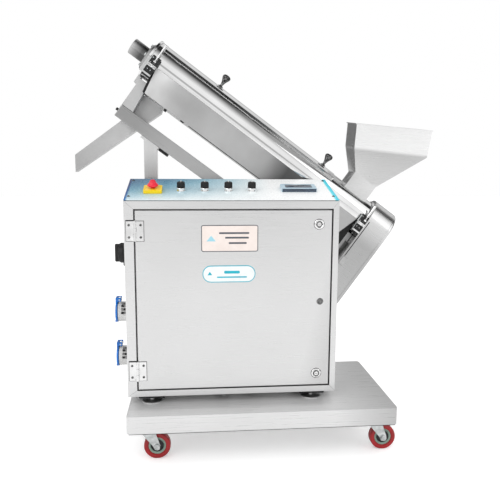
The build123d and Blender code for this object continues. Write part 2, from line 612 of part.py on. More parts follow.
def lower_bracket():
    """End disc of the tube's lower end on its straight leg, with the latch's lug."""
    disc = rod_x(END_DISC, TUBE_END, TUBE_END + DISC_THICKNESS)
    leg = block(LOWER_LEG[0], LOWER_LEG[1], -30, 30, BEAM_TOP, -62)
    bridge = block(LOWER_LEG[0], TUBE_END + DISC_THICKNESS, -30, 30, -90, -62)
    lug = block(LOWER_LEG[0] + 2, TUBE_END + DISC_THICKNESS, LATCH_BACK, -TUBE_RADIUS - 0.5, -50, 0)
    disc = disc + leg + bridge + lug
    return tilted(disc - rod_x(SHAFT_RADIUS + 1, TUBE_END - 1, TUBE_END + 10))


def frame():
    """Posts, sloping beam and the two end brackets."""
    add("inclined_beam", beam())
    add("frame_posts", *[post(x) for x in POST_X])
    add("frame_bolts", *[b for x in POST_X for b in foot_bolts(x)], *tube_fasteners())
    add("end_brackets", upper_bracket(), lower_bracket())


# ---------------------------------------------------------------- polishing tube
TROUGH_HALF, TROUGH_SHEET = 63.0, 1.5
TROUGH_TOP, TROUGH_LOW = -15.0, -97.0
TROUGH_START_TOP, TROUGH_START_LOW, TROUGH_END, TROUGH_END_LOW = 18.0, 32.0, 792.0, 766.0
SEAL = 8.0
PARTITION = 96.0
LID_START, LID_END, LID_HALF_ANGLE = 6.0, 655.0, 50.0
LID_SHEET = 1.5
KNOB_ALONG, KNOB_STUD = (200.0, 611.0), 3.0
SCREEN_RADIUS, SCREEN_SHEET = 57.0, 1.2
BRUSH_RADIUS, BRUSH_CORE = 52.0, 16.0
NECK = (702.0, 786.0, 42.0)
NECK_TOP, NECK_SHEET = 104.0, 2.0
OUTLET_ALONG, OUTLET_RISE, OUTLET_RADIUS, OUTLET_LENGTH = 560.0, -56.0, 25.4, 50.0
SPOUT_Y = (23.0, 61.0)


def trough():
    """Dust trough below the tube, with a discharge bay at its upper end and a hose spigot."""
    t = TROUGH_SHEET
    side = [(TROUGH_START_TOP, TROUGH_TOP), (TROUGH_END, TROUGH_TOP)]
    side += [(TROUGH_END_LOW, TROUGH_LOW), (TROUGH_START_LOW, TROUGH_LOW)]
    outer = plate_xz(side, -TROUGH_HALF, TROUGH_HALF)
    hollow = [(TROUGH_START_TOP + t, TROUGH_TOP + 1), (TROUGH_END - t, TROUGH_TOP + 1)]
    hollow += [(TROUGH_END_LOW - t, TROUGH_LOW + t), (TROUGH_START_LOW + t, TROUGH_LOW + t)]
    body = outer - plate_xz(hollow, -TROUGH_HALF + t, TROUGH_HALF - t)
    wall = block(PARTITION, PARTITION + t, -TROUGH_HALF + t, TROUGH_HALF - t, TROUGH_LOW + t, TROUGH_TOP)
    body += wall
    body -= rod_x(TUBE_RADIUS + 0.2, TROUGH_START_TOP - 5, TROUGH_END + 5)
    spout = (SPOUT_Y[0] + 2, SPOUT_Y[1] - 2)
    body -= block(TROUGH_START_LOW + 4, PARTITION - 6, *spout, TROUGH_LOW - 1, TROUGH_LOW + 5)
    spigot = rod_y(OUTLET_RADIUS, TROUGH_HALF - t, TROUGH_HALF + OUTLET_LENGTH, OUTLET_ALONG, OUTLET_RISE)
    body += spigot
    return body - rod_y(OUTLET_RADIUS - 1.5, 40, TROUGH_HALF + OUTLET_LENGTH + 1, OUTLET_ALONG, OUTLET_RISE)


def tube_shell():
    """Bright outer tube: round at its ends, open below over the trough and above under the lid."""
    r = TUBE_RADIUS
    pipe = rod_x(r, TUBE_START, TUBE_END) - rod_x(r - TUBE_SHEET, TUBE_START - 1, TUBE_END + 1)
    below = block(TROUGH_START_TOP + 2, TROUGH_END - 2, -r - 1, r + 1, -r - 1, TROUGH_TOP)
    pipe -= below
    window = sector_x(r - 10, r + 10, LID_START + 6, LID_END - 6, LID_HALF_ANGLE - 4)
    pipe -= window
    s0, s1, half = NECK
    pipe -= block(s0 + 2, s1 - 2, -half + 2, half - 2, 0, r + 20)
    return pipe


def lid_hinge_line():
    """Y and Z of the lid's hinge axis in the tube's frame."""
    turn = math.radians(LID_HALF_ANGLE + 4)
    reach = TUBE_RADIUS + 5
    return reach * math.sin(turn), reach * math.cos(turn)


def lid_hinges():
    """Three knuckles and pins welded to the tube behind the lid."""
    y, z = lid_hinge_line()
    pieces = []
    for s in (60.0, 330.0, 600.0):
        for s0, s1 in ((s - 30, s - 10.4), (s + 10.4, s + 30)):
            knuckle = rod_x(3.6, s0, s1, y, z) - rod_x(1.8, s0 - 1, s1 + 1, y, z)
            foot = block(s0, s1, y - 3.6, y + 1.4, z - 12, z) - rod_x(3.6, s0 - 1, s1 + 1, y, z)
            pieces.append(knuckle + (foot - rod_x(TUBE_RADIUS, s0 - 1, s1 + 1)))
        pieces.append(rod_x(1.8, s - 30, s + 30, y, z))
    return pieces


def tube_lid():
    """Hinged cover over the tube's top window, with a turned-up front lip."""
    r = TUBE_RADIUS + BODY_GAP
    lid = sector_x(r, r + LID_SHEET, LID_START, LID_END, LID_HALF_ANGLE)
    turn = math.radians(-LID_HALF_ANGLE)
    middle = r + 4.5
    lip = Pos(0, middle * math.sin(turn), middle * math.cos(turn)) * Rot(LID_HALF_ANGLE, 0, 0)
    lid += lip * block(LID_START, LID_END, -0.8, 0.8, -4.4, 4.4)
    y, z = lid_hinge_line()
    for s in (60.0, 330.0, 600.0):
        knuckle = rod_x(3.6, s - 10, s + 10, y, z)
        strap = sector_x(r, r + LID_SHEET, s - 10, s + 10, LID_HALF_ANGLE + 2)
        strap += block(s - 10, s + 10, y - 7.5, y - 1, z + 0.5, z + 3.5)
        lid += knuckle + strap
        lid -= rod_x(1.8 + RUNNING_GAP, s - 11, s + 11, y, z)
    lid -= rod_x(r, LID_START - 1, LID_END + 1)
    for s in KNOB_ALONG:
        lid -= rod_z(KNOB_STUD, 50, 80, s)
    return lid


def lid_knob(s):
    """Flared lifting knob with its washer and stud."""
    low = TUBE_RADIUS + BODY_GAP + LID_SHEET
    outline = [(0, low), (9, low), (9, low + 2.5), (4.2, low + 4.5), (4.6, low + 10), (7.6, low + 19)]
    outline += [(12.4, low + 29), (13.4, low + 33), (12.6, low + 37), (8, low + 40.5), (0, low + 42)]
    face = make_face(Polyline(*[(r, 0, z) for r, z in outline], close=True))
    knob = Pos(s, 0, 0) * revolve(face, Axis.Z, 360)
    return knob + rod_z(KNOB_STUD, low - 3, low + 1, s)


def screen_tube():
    """Slotted inner screen that lets dust fall into the trough, open at the discharge bay."""
    r = SCREEN_RADIUS
    s0, s1 = TUBE_START + 1, TUBE_END - 1
    screen = rod_x(r, s0, s1) - rod_x(r - SCREEN_SHEET, s0 - 1, s1 + 1)
    screen -= sector_x(r - 10, r + 10, LID_START + 8, LID_END - 8, LID_HALF_ANGLE - 4)
    n0, n1, half = NECK
    screen -= block(n0 + 2, n1 - 2, -half + 2, half - 2, 0, r + 20)
    screen -= block(TROUGH_START_LOW, PARTITION - 6, -35, 35, -r - 5, 0)
    for row in (-36, 0, 36):
        for i in range(19):
            s = PARTITION + 16 + 36 * i
            slot = block(s, s + 26, -1.5, 1.5, -r - 5, -r + 8)
            screen -= Rot(row, 0, 0) * slot
    return screen


def brush():
    """Brush shaft with its pulley, and the bristle rows as plain fins on a core."""
    shaft = rod_x(SHAFT_RADIUS, TUBE_START - 46, 893)
    pulley = vee_pulley(DRIVEN_RADIUS, SHAFT_RADIUS)
    bristles = rod_x(BRUSH_CORE, 4, 800)
    for turn in range(0, 180, 30):
        bristles += Rot(turn, 0, 0) * block(4, 800, -BRUSH_RADIUS, BRUSH_RADIUS, -2.5, 2.5)
    bristles -= rod_x(SHAFT_RADIUS, 3, 801)
    add("brush_shaft", tilted(shaft), tilted(pulley))
    add("brush_bristles", tilted(bristles))


def bearing_housings():
    """Flanged bearing at each end; the upper one has a long closed cap."""
    s = TUBE_START - DISC_THICKNESS
    flange = rod_x(46, s - 13, s)
    flange = chamfer(flange.edges().filter_by(GeomType.CIRCLE).sort_by(Axis.X)[0], 4)
    upper = flange + rod_x(25, s - 66, s - 13)
    upper = upper - rod_x(SHAFT_RADIUS + RUNNING_GAP, s - 42, s + 1)
    s = GUARD_START + GUARD_SHEET
    lower = rod_x(36, s, s + 10) + rod_x(22, s + 10, s + 18)
    lower = lower - rod_x(SHAFT_RADIUS + RUNNING_GAP, s - 1, s + 20)
    return [tilted(upper), tilted(lower)]


# Latches clamp the tube's end discs; each is drawn at its own place along the tube.
LATCHES = {"upper": (-8.0, 19.0, 6.0), "lower": (796.0, 821.0, 814.5)}
LATCH_FRONT, LATCH_BACK, LATCH_PIVOT = -78.0, -67.0, -5.0


def latch_body(end):
    """Black toggle body with a slot for the lever."""
    s0, s1, lever = LATCHES[end]
    body = block(s0, s1, LATCH_FRONT, LATCH_BACK, -56, 10)
    body -= block(lever - 4.6, lever + 4.6, LATCH_FRONT - 1, LATCH_BACK + 4, LATCH_PIVOT - 8, 11)
    body -= rod_x(2 + RUNNING_GAP, lever - 20, lever + 20, -73, LATCH_PIVOT)
    return tilted(body)


def latch_lever(end):
    """Bright lever with its cross pin; it swings out from the body."""
    lever = LATCHES[end][2]
    arm = rod_z(2.6, LATCH_PIVOT, 52, lever, -73)
    if end == "upper":
        arm += rod_x(2.6, lever - 8.5, lever + 8.5, -73, 52)
    else:
        arm += rod_z(4, 12, 50, lever, -73) + Pos(lever, -73, 50) * Sphere(4)
    arm += rod_x(4.2, lever - 4, lever + 4, -73, LATCH_PIVOT)
    return tilted(arm + rod_x(2, lever - 7, lever + 7, -73, LATCH_PIVOT))


# ---------------------------------------------------------------- hopper and chute
HOPPER_CENTRE = (825.0, 266.0, 952.0)
HOPPER_TILT, HOPPER_LEAN = 4.6, 6.0
HOPPER_WIDTH, HOPPER_DEPTH, HOPPER_BAND = 247.0, 112.0, (76.0, 86.0)
HOPPER_SHEET, HOPPER_TAPER = 2.0, 5.0


def hopper_place(shape):
    """Places a shape drawn in the hopper's frame, with its rim at Z 0."""
    return Pos(*HOPPER_CENTRE) * Rot(HOPPER_LEAN, HOPPER_TILT, 0) * shape


def rectangle(width, depth, left, right, x=0.0):
    """Closed rectangular wire with its left and right edges at their own heights."""
    w, d = width / 2, depth / 2
    return Polyline((x - w, -d, left), (x + w, -d, right), (x + w, d, right), (x - w, d, left), close=True)


def ruled(lower, upper):
    """Solid with straight sides between two closed wires."""
    return Solid.make_loft([Wire(lower.edges()), Wire(upper.edges())], ruled=True)


def hopper_volume(inset, rise):
    """Outer or inner volume of the hopper: upright band, tapered body and the neck below."""
    left, right = HOPPER_BAND
    width, depth = HOPPER_WIDTH - 2 * inset, HOPPER_DEPTH - 2 * inset
    waist = rectangle(width - HOPPER_TAPER, depth, -left, -right)
    rim = rectangle(width, depth, rise, rise)
    s0, s1, half = NECK
    middle, neck_width, neck_depth = (s0 + s1) / 2, s1 - s0 - 2 * inset, 2 * half - 2 * inset
    outlet = tilted(rectangle(neck_width, neck_depth, NECK_TOP, NECK_TOP, middle))
    neck = block(s0 + inset, s1 - inset, -half + inset, half - inset, 20, NECK_TOP)
    body = ruled(outlet, hopper_place(waist))
    return hopper_place(ruled(waist, rim)) + body + tilted(neck)


def hopper():
    """Sheet hopper with a hemmed rim and its neck cut to sit on the tube."""
    shell = hopper_volume(0, 0) - hopper_volume(HOPPER_SHEET, 5)
    hem = rectangle_ring(HOPPER_WIDTH, HOPPER_DEPTH, 3.0)
    return shell + hopper_place(hem) - tilted(rod_x(TUBE_RADIUS, TUBE_START, TUBE_END))


def rectangle_ring(width, depth, hem):
    """Folded hem round the hopper's rim."""
    w, d = width / 2, depth / 2
    ring = block(-w - hem, w + hem, -d - hem, d + hem, -hem, 0)
    return ring - block(-w + 1, w - 1, -d + 1, d - 1, -hem - 1, 1)


CHUTE_Y = (293.0, 341.0)
CHUTE_SHEET = 1.5
CHUTE_LOW = ((-180.6, 800.3), (90.7, 986.0))
CHUTE_HIGH = ((-180.6, 854.2), (-20.0, 972.5))
CHUTE_SHOULDER = (20.0, -100.0)


def beside_tube(s, p):
    """X and Z of a point s along the tube and p above its axis."""
    turn = math.radians(SLOPE)
    x = TUBE_REFERENCE[0] + s * math.cos(turn) + p * math.sin(turn)
    return x, TUBE_REFERENCE[2] - s * math.sin(turn) + p * math.cos(turn)


def chute():
    """Closed channel from under the discharge bay, down to the left past the beam."""
    start, stop = beside_tube(TROUGH_START_LOW + 2, TROUGH_LOW), beside_tube(PARTITION - 4, TROUGH_LOW)
    shoulder = beside_tube(*CHUTE_SHOULDER)
    outline = [CHUTE_LOW[0], CHUTE_LOW[1], stop, start, shoulder, CHUTE_HIGH[1], CHUTE_HIGH[0]]
    outer = plate_xz(outline, *CHUTE_Y)
    t = CHUTE_SHEET
    run = (CHUTE_LOW[1][0] - CHUTE_LOW[0][0], CHUTE_LOW[1][1] - CHUTE_LOW[0][1])
    length = math.hypot(*run)
    rise = t * length / run[0]
    over = 20.0
    slope = run[1] / run[0]
    slope_high = (CHUTE_HIGH[1][1] - CHUTE_HIGH[0][1]) / (CHUTE_HIGH[1][0] - CHUTE_HIGH[0][0])
    inner = [
        (CHUTE_LOW[0][0] - over, CHUTE_LOW[0][1] + rise - over * slope),
        (CHUTE_LOW[1][0] - t, CHUTE_LOW[1][1] + rise - t * slope),
        (stop[0] - t, stop[1] + 2),
        (start[0] + t, start[1] + 2),
        (start[0] + t, start[1] - t),
        (shoulder[0] + 2 * t, shoulder[1] - 2 * t),
        (CHUTE_HIGH[1][0] + t, CHUTE_HIGH[1][1] - rise),
        (CHUTE_HIGH[0][0] - over, CHUTE_HIGH[0][1] - rise - over * slope_high),
    ]
    return outer - plate_xz(inner, CHUTE_Y[0] + t, CHUTE_Y[1] - t)


# ---------------------------------------------------------------- drive
GUARD_START, GUARD_SPLIT, GUARD_END = 822.0, 896.0, 908.0
GUARD_RADIUS, GUARD_SHEET = 75.0, 2.0
PULLEY_DROP = 280.0
GUARD_SEAM = (828.0, 830.4)
PULLEY = (848.0, 872.0)
DRIVEN_RADIUS, DRIVE_RADIUS = 46.0, 28.0
BELT_WIDTH, BELT_HEIGHT, BELT_SEAT = 8.0, 7.0, 7.5
MOTOR_SHAFT = 9.0
MOTOR_START, MOTOR_RADIUS = 694.0, 54.0


def obround(radius, s0, s1):
    """Round-ended block around both pulley centres, along the tube's axis."""
    slab = block(s0, s1, -radius, radius, -PULLEY_DROP, 0)
    return slab + rod_x(radius, s0, s1) + rod_x(radius, s0, s1, 0, -PULLEY_DROP)


def vee_pulley(radius, bore):
    """Grooved pulley about the tube's axis."""
    s0, s1 = PULLEY
    middle = (s0 + s1) / 2
    wheel = rod_x(radius, s0, s1)
    half = BELT_WIDTH / 2 + 0.5
    groove = rod_x(radius + 1, middle - half, middle + half)
    groove -= rod_x(radius - BELT_SEAT - 0.6, s0, s1)
    return wheel - groove - rod_x(bore, s0 - 1, s1 + 1)


def belt_loop(grow):
    """Round-ended outline around both pulleys, grown outwards from the belt's seat."""
    upper = Circle(DRIVEN_RADIUS - BELT_SEAT + grow)
    lower = Pos(0, -PULLEY_DROP) * Circle(DRIVE_RADIUS - BELT_SEAT + grow)
    return extrude(Plane.YZ * make_hull(upper.edges() + lower.edges()), amount=BELT_WIDTH)


def belt():
    """Belt round both pulleys, as a closed loop."""
    middle = (PULLEY[0] + PULLEY[1]) / 2
    return tilted(Pos(middle - BELT_WIDTH / 2, 0, 0) * (belt_loop(BELT_HEIGHT) - belt_loop(0)))


def guard_body():
    """Belt guard with a closed back face and an open right side."""
    shell = obround(GUARD_RADIUS, GUARD_START, GUARD_SPLIT)
    t = GUARD_SHEET
    shell -= obround(GUARD_RADIUS - t, GUARD_START + t, GUARD_SPLIT + 1)
    shell += block(GUARD_SEAM[0] - 2, GUARD_SEAM[0] + 14, -GUARD_RADIUS - 3, -GUARD_RADIUS, -163, -135)
    shell -= rod_x(SHAFT_RADIUS + 4, GUARD_START - 1, GUARD_START + 3)
    return tilted(shell - rod_x(MOTOR_SHAFT + 3, GUARD_START - 1, GUARD_START + 3, 0, -PULLEY_DROP))


def guard_cover():
    """Dished cover that closes the guard, with a rounded rim."""
    cover = obround(GUARD_RADIUS, GUARD_SPLIT, GUARD_END)
    cover = fillet(cover.faces().sort_by(Axis.X)[-1].outer_wire().edges(), 7)
    t = GUARD_SHEET
    return tilted(cover - obround(GUARD_RADIUS - 8, GUARD_SPLIT - 1, GUARD_END - t))


def motor():
    """Ribbed motor with its flange on the guard's back face and a terminal box on top."""
    drop = -PULLEY_DROP
    body = rod_x(MOTOR_RADIUS - 4, MOTOR_START, GUARD_START, 0, drop)
    for i in range(8):
        s = MOTOR_START + 26 + 11 * i
        body += rod_x(MOTOR_RADIUS, s, s + 4, 0, drop)
    body += rod_x(MOTOR_RADIUS, MOTOR_START, MOTOR_START + 18, 0, drop)
    body += rod_x(62, GUARD_START - 7, GUARD_START, 0, drop)
    body += block(MOTOR_START + 30, MOTOR_START + 95, 30, 66, drop - 30, drop + 30)
    return tilted(body - rod_x(MOTOR_SHAFT + RUNNING_GAP, GUARD_START - 60, GUARD_START + 1, 0, drop))


def motor_rotor():
    """Motor shaft and the pulley keyed on it."""
    drop = Pos(0, 0, -PULLEY_DROP)
    shaft = drop * rod_x(MOTOR_SHAFT, GUARD_START - 58, 884)
    return [tilted(shaft), tilted(drop * vee_pulley(DRIVE_RADIUS, MOTOR_SHAFT))]


def polisher():
    """Tube, lid, brush, bearings, latches, hopper, chute and drive."""
    add("dust_trough", tilted(trough()))
    add("tube_shell", tilted(tube_shell()))
    add("screen_tube", tilted(screen_tube()))
    add("tube_lid", tilted(tube_lid()))
    add("lid_knobs", *[tilted(lid_knob(s)) for s in KNOB_ALONG])
    brush()
    add("tube_fittings", *bearing_housings(), *[tilted(piece) for piece in lid_hinges()])
    add("latch_bodies", *[latch_body(end) for end in LATCHES])
    for end in LATCHES:
        add(f"latch_lever_{end}", latch_lever(end))
    add("feed_hopper", hopper())
    add("discharge_chute", chute())
    add("belt_guard", guard_body())
    add("guard_cover", guard_cover())
    add("drive_pulley", *motor_rotor())
    add("drive_belt", belt())
    add("drive_motor", motor())


def build():
    """Makes every node and moves the origin to the box's centre at floor level."""
    trolley()
    cabinet()
    controls()
    frame()
    polisher()
    box = Compound([solid for shape in nodes.values() for solid in shape.solids()]).bounding_box()
    shift = Vector(-(box.min.X + box.max.X) / 2, -(box.min.Y + box.max.Y) / 2, -box.min.Z)
    for name, shape in nodes.items():
        nodes[name] = Pos(shift) * shape
    return shift


ORIGIN_SHIFT = build()
os.makedirs("parts", exist_ok=True)
for node_name, node_shape in nodes.items():
    export_step(node_shape, f"parts/{node_name}.step")
print(len(nodes), "nodes; origin shift", ORIGIN_SHIFT)
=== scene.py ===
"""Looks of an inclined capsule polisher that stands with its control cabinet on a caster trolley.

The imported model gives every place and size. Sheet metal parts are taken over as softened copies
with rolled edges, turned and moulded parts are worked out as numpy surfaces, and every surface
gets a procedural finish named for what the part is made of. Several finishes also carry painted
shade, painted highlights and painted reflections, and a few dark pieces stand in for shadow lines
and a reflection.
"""

import json
import logging
import math
from dataclasses import dataclass, field
from enum import Enum
from typing import Any, Callable, Sequence

import bmesh
import bpy
import numpy as np
from mathutils import Matrix, Vector


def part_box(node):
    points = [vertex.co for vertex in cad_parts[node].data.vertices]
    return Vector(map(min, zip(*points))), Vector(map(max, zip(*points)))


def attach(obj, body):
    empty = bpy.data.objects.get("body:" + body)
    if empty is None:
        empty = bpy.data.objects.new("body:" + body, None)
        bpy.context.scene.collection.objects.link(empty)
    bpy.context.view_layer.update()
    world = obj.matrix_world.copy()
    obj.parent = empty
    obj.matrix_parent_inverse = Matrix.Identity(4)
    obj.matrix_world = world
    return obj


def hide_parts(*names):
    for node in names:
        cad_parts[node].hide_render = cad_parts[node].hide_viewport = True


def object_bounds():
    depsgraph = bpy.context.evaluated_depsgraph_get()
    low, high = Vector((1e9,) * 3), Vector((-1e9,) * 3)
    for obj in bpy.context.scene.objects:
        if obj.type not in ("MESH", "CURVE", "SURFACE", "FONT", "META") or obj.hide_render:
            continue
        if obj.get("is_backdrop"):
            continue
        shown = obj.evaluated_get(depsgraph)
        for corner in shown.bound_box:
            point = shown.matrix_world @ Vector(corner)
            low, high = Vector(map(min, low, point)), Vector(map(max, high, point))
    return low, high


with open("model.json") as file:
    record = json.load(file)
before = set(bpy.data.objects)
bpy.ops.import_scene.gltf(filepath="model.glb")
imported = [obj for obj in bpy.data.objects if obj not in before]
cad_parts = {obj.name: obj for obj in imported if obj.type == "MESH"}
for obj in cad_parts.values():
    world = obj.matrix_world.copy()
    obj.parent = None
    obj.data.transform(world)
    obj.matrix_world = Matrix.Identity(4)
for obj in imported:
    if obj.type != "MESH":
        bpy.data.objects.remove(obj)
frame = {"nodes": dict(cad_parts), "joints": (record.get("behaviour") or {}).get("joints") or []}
CAD_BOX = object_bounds()
LOG = logging.getLogger("capsule_polisher")

MM = 0.001
FULL_TURN = 2.0 * math.pi


# ------------------------------------------------------------------ colours and shader nodes
def srgb(code: str) -> tuple[float, float, float, float]:
    """Turn a six-digit sRGB hex colour into linear RGBA.

    Args:
        code: Hex digits with or without a leading hash.

    Returns:
        Linear red, green, blue and an alpha of one.
    """
    digits = code.lstrip("#")
    channels = (int(digits[i : i + 2], 16) / 255.0 for i in (0, 2, 4))
    linear = [c / 12.92 if c <= 0.04045 else ((c + 0.055) / 1.055) ** 2.4 for c in channels]
    return (linear[0], linear[1], linear[2], 1.0)


def add_node(
    tree: bpy.types.NodeTree,
    kind: str,
    inputs: dict[Any, Any] | None = None,
    settings: dict[str, Any] | None = None,
) -> bpy.types.Node:
    """Add one shader node with its settings, values and links.

    Args:
        tree: Node tree that receives the node.
        kind: Blender's type name of the node, without its ShaderNode start.
        inputs: Input name or number to a value, or to an output socket to link from.
        settings: Attribute name to value, set before the inputs.

    Returns:
        The new node.
    """
    node = tree.nodes.new(f"ShaderNode{kind}")
    for key, value in (settings or {}).items():
        setattr(node, key, value)
    for key, value in (inputs or {}).items():
        if isinstance(value, bpy.types.NodeSocket):
            tree.links.new(value, node.inputs[key])
        else:
            node.inputs[key].default_value = value
    return node


def set_stops(ramp: bpy.types.Node, stops: Sequence[tuple[float, tuple[float, ...]]]) -> None:
    """Write the stops of a colour ramp.

    Args:
        ramp: Colour ramp node.
        stops: Position and linear colour of each stop, in rising order.
    """
    elements = ramp.color_ramp.elements
    while len(elements) < len(stops):
        elements.new(0.5)
    for element, (place, colour) in zip(elements, stops):
        element.position = place
        element.color = colour


class Grain(Enum):
    """Direction that a brushed or rolled surface was worked in."""

    ALONG_X = "x"
    ALONG_Z = "z"
    ALONG_TUBE = "tube"


TUBE_JOINT = next(j for j in frame["joints"] if j["name"] == "brush_spin")
TUBE_AXIS = np.array(TUBE_JOINT["axis"], float)
TUBE_SLOPE = math.atan2(-TUBE_AXIS[2], TUBE_AXIS[0])
BRUSH_JOINT_DOWN_TUBE = 0.4
TUBE_START = np.array(TUBE_JOINT["pos_m"], float) - TUBE_AXIS * BRUSH_JOINT_DOWN_TUBE
TUBE_UP = np.array([math.sin(TUBE_SLOPE), 0.0, math.cos(TUBE_SLOPE)])


@dataclass(frozen=True)
class Shade:
    """Slow change of tone along one direction, drawn into the base colour.

    It isn't a property of the metal. It stands in for the shadows and reflections that one
    particular light gives the machine, so it stays on the surface in any other light and view.
    Each stop holds a distance in metres along the direction and the share of the tone kept there,
    chosen by comparing tones. Leaving out a finish's shade gives the plain metal.
    """

    direction: tuple[float, float, float]
    stops: tuple[tuple[float, float], ...]

    def applied(
        self, tree: bpy.types.NodeTree, place: bpy.types.NodeSocket, colour: bpy.types.NodeSocket
    ) -> bpy.types.NodeSocket:
        """Multiply a colour by the ramp of this shade.

        Args:
            tree: The material's node tree.
            place: Object coordinates.
            colour: Colour to darken, or to lighten where a stop keeps more than the whole tone.

        Returns:
            The darkened or lightened colour.
        """
        along = add_node(
            tree, "VectorMath", {0: place, 1: self.direction}, {"operation": "DOT_PRODUCT"}
        )
        start, stop = self.stops[0][0], self.stops[-1][0]
        share = add_node(tree, "MapRange", {0: along.outputs["Value"], 1: start, 2: stop})
        ramp = add_node(tree, "ValToRGB", {0: share.outputs[0]})
        set_stops(ramp, [((at - start) / (stop - start), (keep, keep, keep, 1.0)) for at, keep in self.stops])
        mixed = add_node(
            tree, "Mix", {0: 1.0, 6: colour, 7: ramp.outputs[0]}, {
                "data_type": "RGBA", "blend_type": "MULTIPLY"
            }
        )
        return mixed.outputs[2]


def along_tube(*stops: tuple[float, float]) -> Shade:
    """Shade along the tube, with its stops in millimetres from the tube's upper end."""
    start = float(TUBE_START @ TUBE_AXIS)
    return Shade(tuple(TUBE_AXIS), tuple((start + at * MM, keep) for at, keep in stops))


def above_tube(*stops: tuple[float, float]) -> Shade:
    """Shade square to the tube, with its stops in millimetres above the tube's axis."""
    start = float(TUBE_START @ TUBE_UP)
    return Shade(tuple(TUBE_UP), tuple((start + at * MM, keep) for at, keep in stops))


@dataclass(frozen=True)
class Finish:
    """A real material and how its surface was made. Subclasses build the shader nodes."""

    name: str

    def dress(self, tree: bpy.types.NodeTree, shader: bpy.types.Node) -> None:
        """Add this finish's nodes to a tree.

        Args:
            tree: The material's node tree.
            shader: Its Principled shader.
        """
        raise NotImplementedError

    def material(self) -> bpy.types.Material:
        """Return the Blender material of this finish, made the first time it is asked for."""
        known = bpy.data.materials.get(self.name)
        if known is not None:
            return known
        made = bpy.data.materials.new(self.name)
        made.use_nodes = True
        tree = made.node_tree
        self.dress(tree, tree.nodes["Principled BSDF"])
        return made


def join_metal(
    tree: bpy.types.NodeTree,
    shader: bpy.types.Node,
    colour: bpy.types.NodeSocket,
    gloss: bpy.types.Node,
    relief: bpy.types.Node,
    metallic: float = 1.0,
) -> None:
    """Link a metal's colour, roughness and bump to its shader.

    Args:
        tree: The material's node tree.
        shader: Its Principled shader.
        colour: Socket that gives the base colour.
        gloss: Node that gives the roughness.
        relief: Bump node.
        metallic: Share of the light that leaves as from bare metal.
    """
    tree.links.new(colour, shader.inputs["Base Color"])
    tree.links.new(gloss.outputs[0], shader.inputs["Roughness"])
    tree.links.new(relief.outputs[0], shader.inputs["Normal"])
    shader.inputs["Metallic"].default_value = metallic


@dataclass(frozen=True)
class BrushedStainless(Finish):
    """Cold rolled 304 stainless with a belt-brushed grain: soft broad highlights, fine streaks.

    Real stainless is fully metallic. A metallic value below one lets part of the light scatter as
    on paint, and is only there to brighten a sheet that would mirror a dark gap.
    """

    light: str = "#e3e3e3"
    dark: str = "#dedede"
    roughness: float = 0.3
    grain: Grain = Grain.ALONG_X
    shade: Shade | None = None
    metallic: float = 1.0
    streak_mm: float = 2.2
    length_mm: float = 150.0
    cloud_mm: float = 240.0

    def dress(self, tree: bpy.types.NodeTree, shader: bpy.types.Node) -> None:
        """Stretch noise along the grain for streaks and add a slow cloudiness of the sheet.

        Args:
            tree: The material's node tree.
            shader: Its Principled shader.
        """
        turn = {Grain.ALONG_X: 0.0, Grain.ALONG_Z: math.pi / 2, Grain.ALONG_TUBE: -TUBE_SLOPE}[self.grain]
        # Real belt grain is about 0.1 mm wide; it is drawn a few millimetres wide so that it shows.
        fine = 1.0 / (self.streak_mm * MM)
        place = add_node(tree, "TexCoord").outputs["Object"]
        turned = add_node(tree, "Mapping", {"Vector": place, "Rotation": (0.0, turn, 0.0)})
        stretched = add_node(
            tree,
            "Mapping",
            {"Vector": turned.outputs[0], "Scale": (1.0 / (self.length_mm * MM), fine, fine)},
        )
        streak = add_node(
            tree,
            "TexNoise",
            {"Vector": stretched.outputs[0], "Scale": 1.0, "Detail": 5.0, "Roughness": 0.62},
        )
        cloud = add_node(
            tree, "TexNoise", {"Vector": place, "Scale": 1.0 / (self.cloud_mm * MM), "Detail": 2.0}
        )
        blend = add_node(
            tree,
            "Mix",
            {0: 0.42, 2: cloud.outputs[0], 3: streak.outputs[0]},
            {"data_type": "FLOAT"},
        )
        tone = add_node(tree, "ValToRGB", {0: blend.outputs[0]})
        set_stops(tone, [(0.30, srgb(self.dark)), (0.66, srgb(self.light))])
        gloss = add_node(
            tree,
            "MapRange",
            {0: streak.outputs[0], 1: 0.25, 2: 0.75, 3: self.roughness - 0.06, 4: self.roughness + 0.08},
        )
        relief = add_node(
            tree, "Bump", {"Strength": 0.05, "Distance": 0.4 * MM, "Height": streak.outputs[0]}
        )
        colour = self.shade.applied(tree, place, tone.outputs[0]) if self.shade else tone.outputs[0]
        join_metal(tree, shader, colour, gloss, relief, self.metallic)


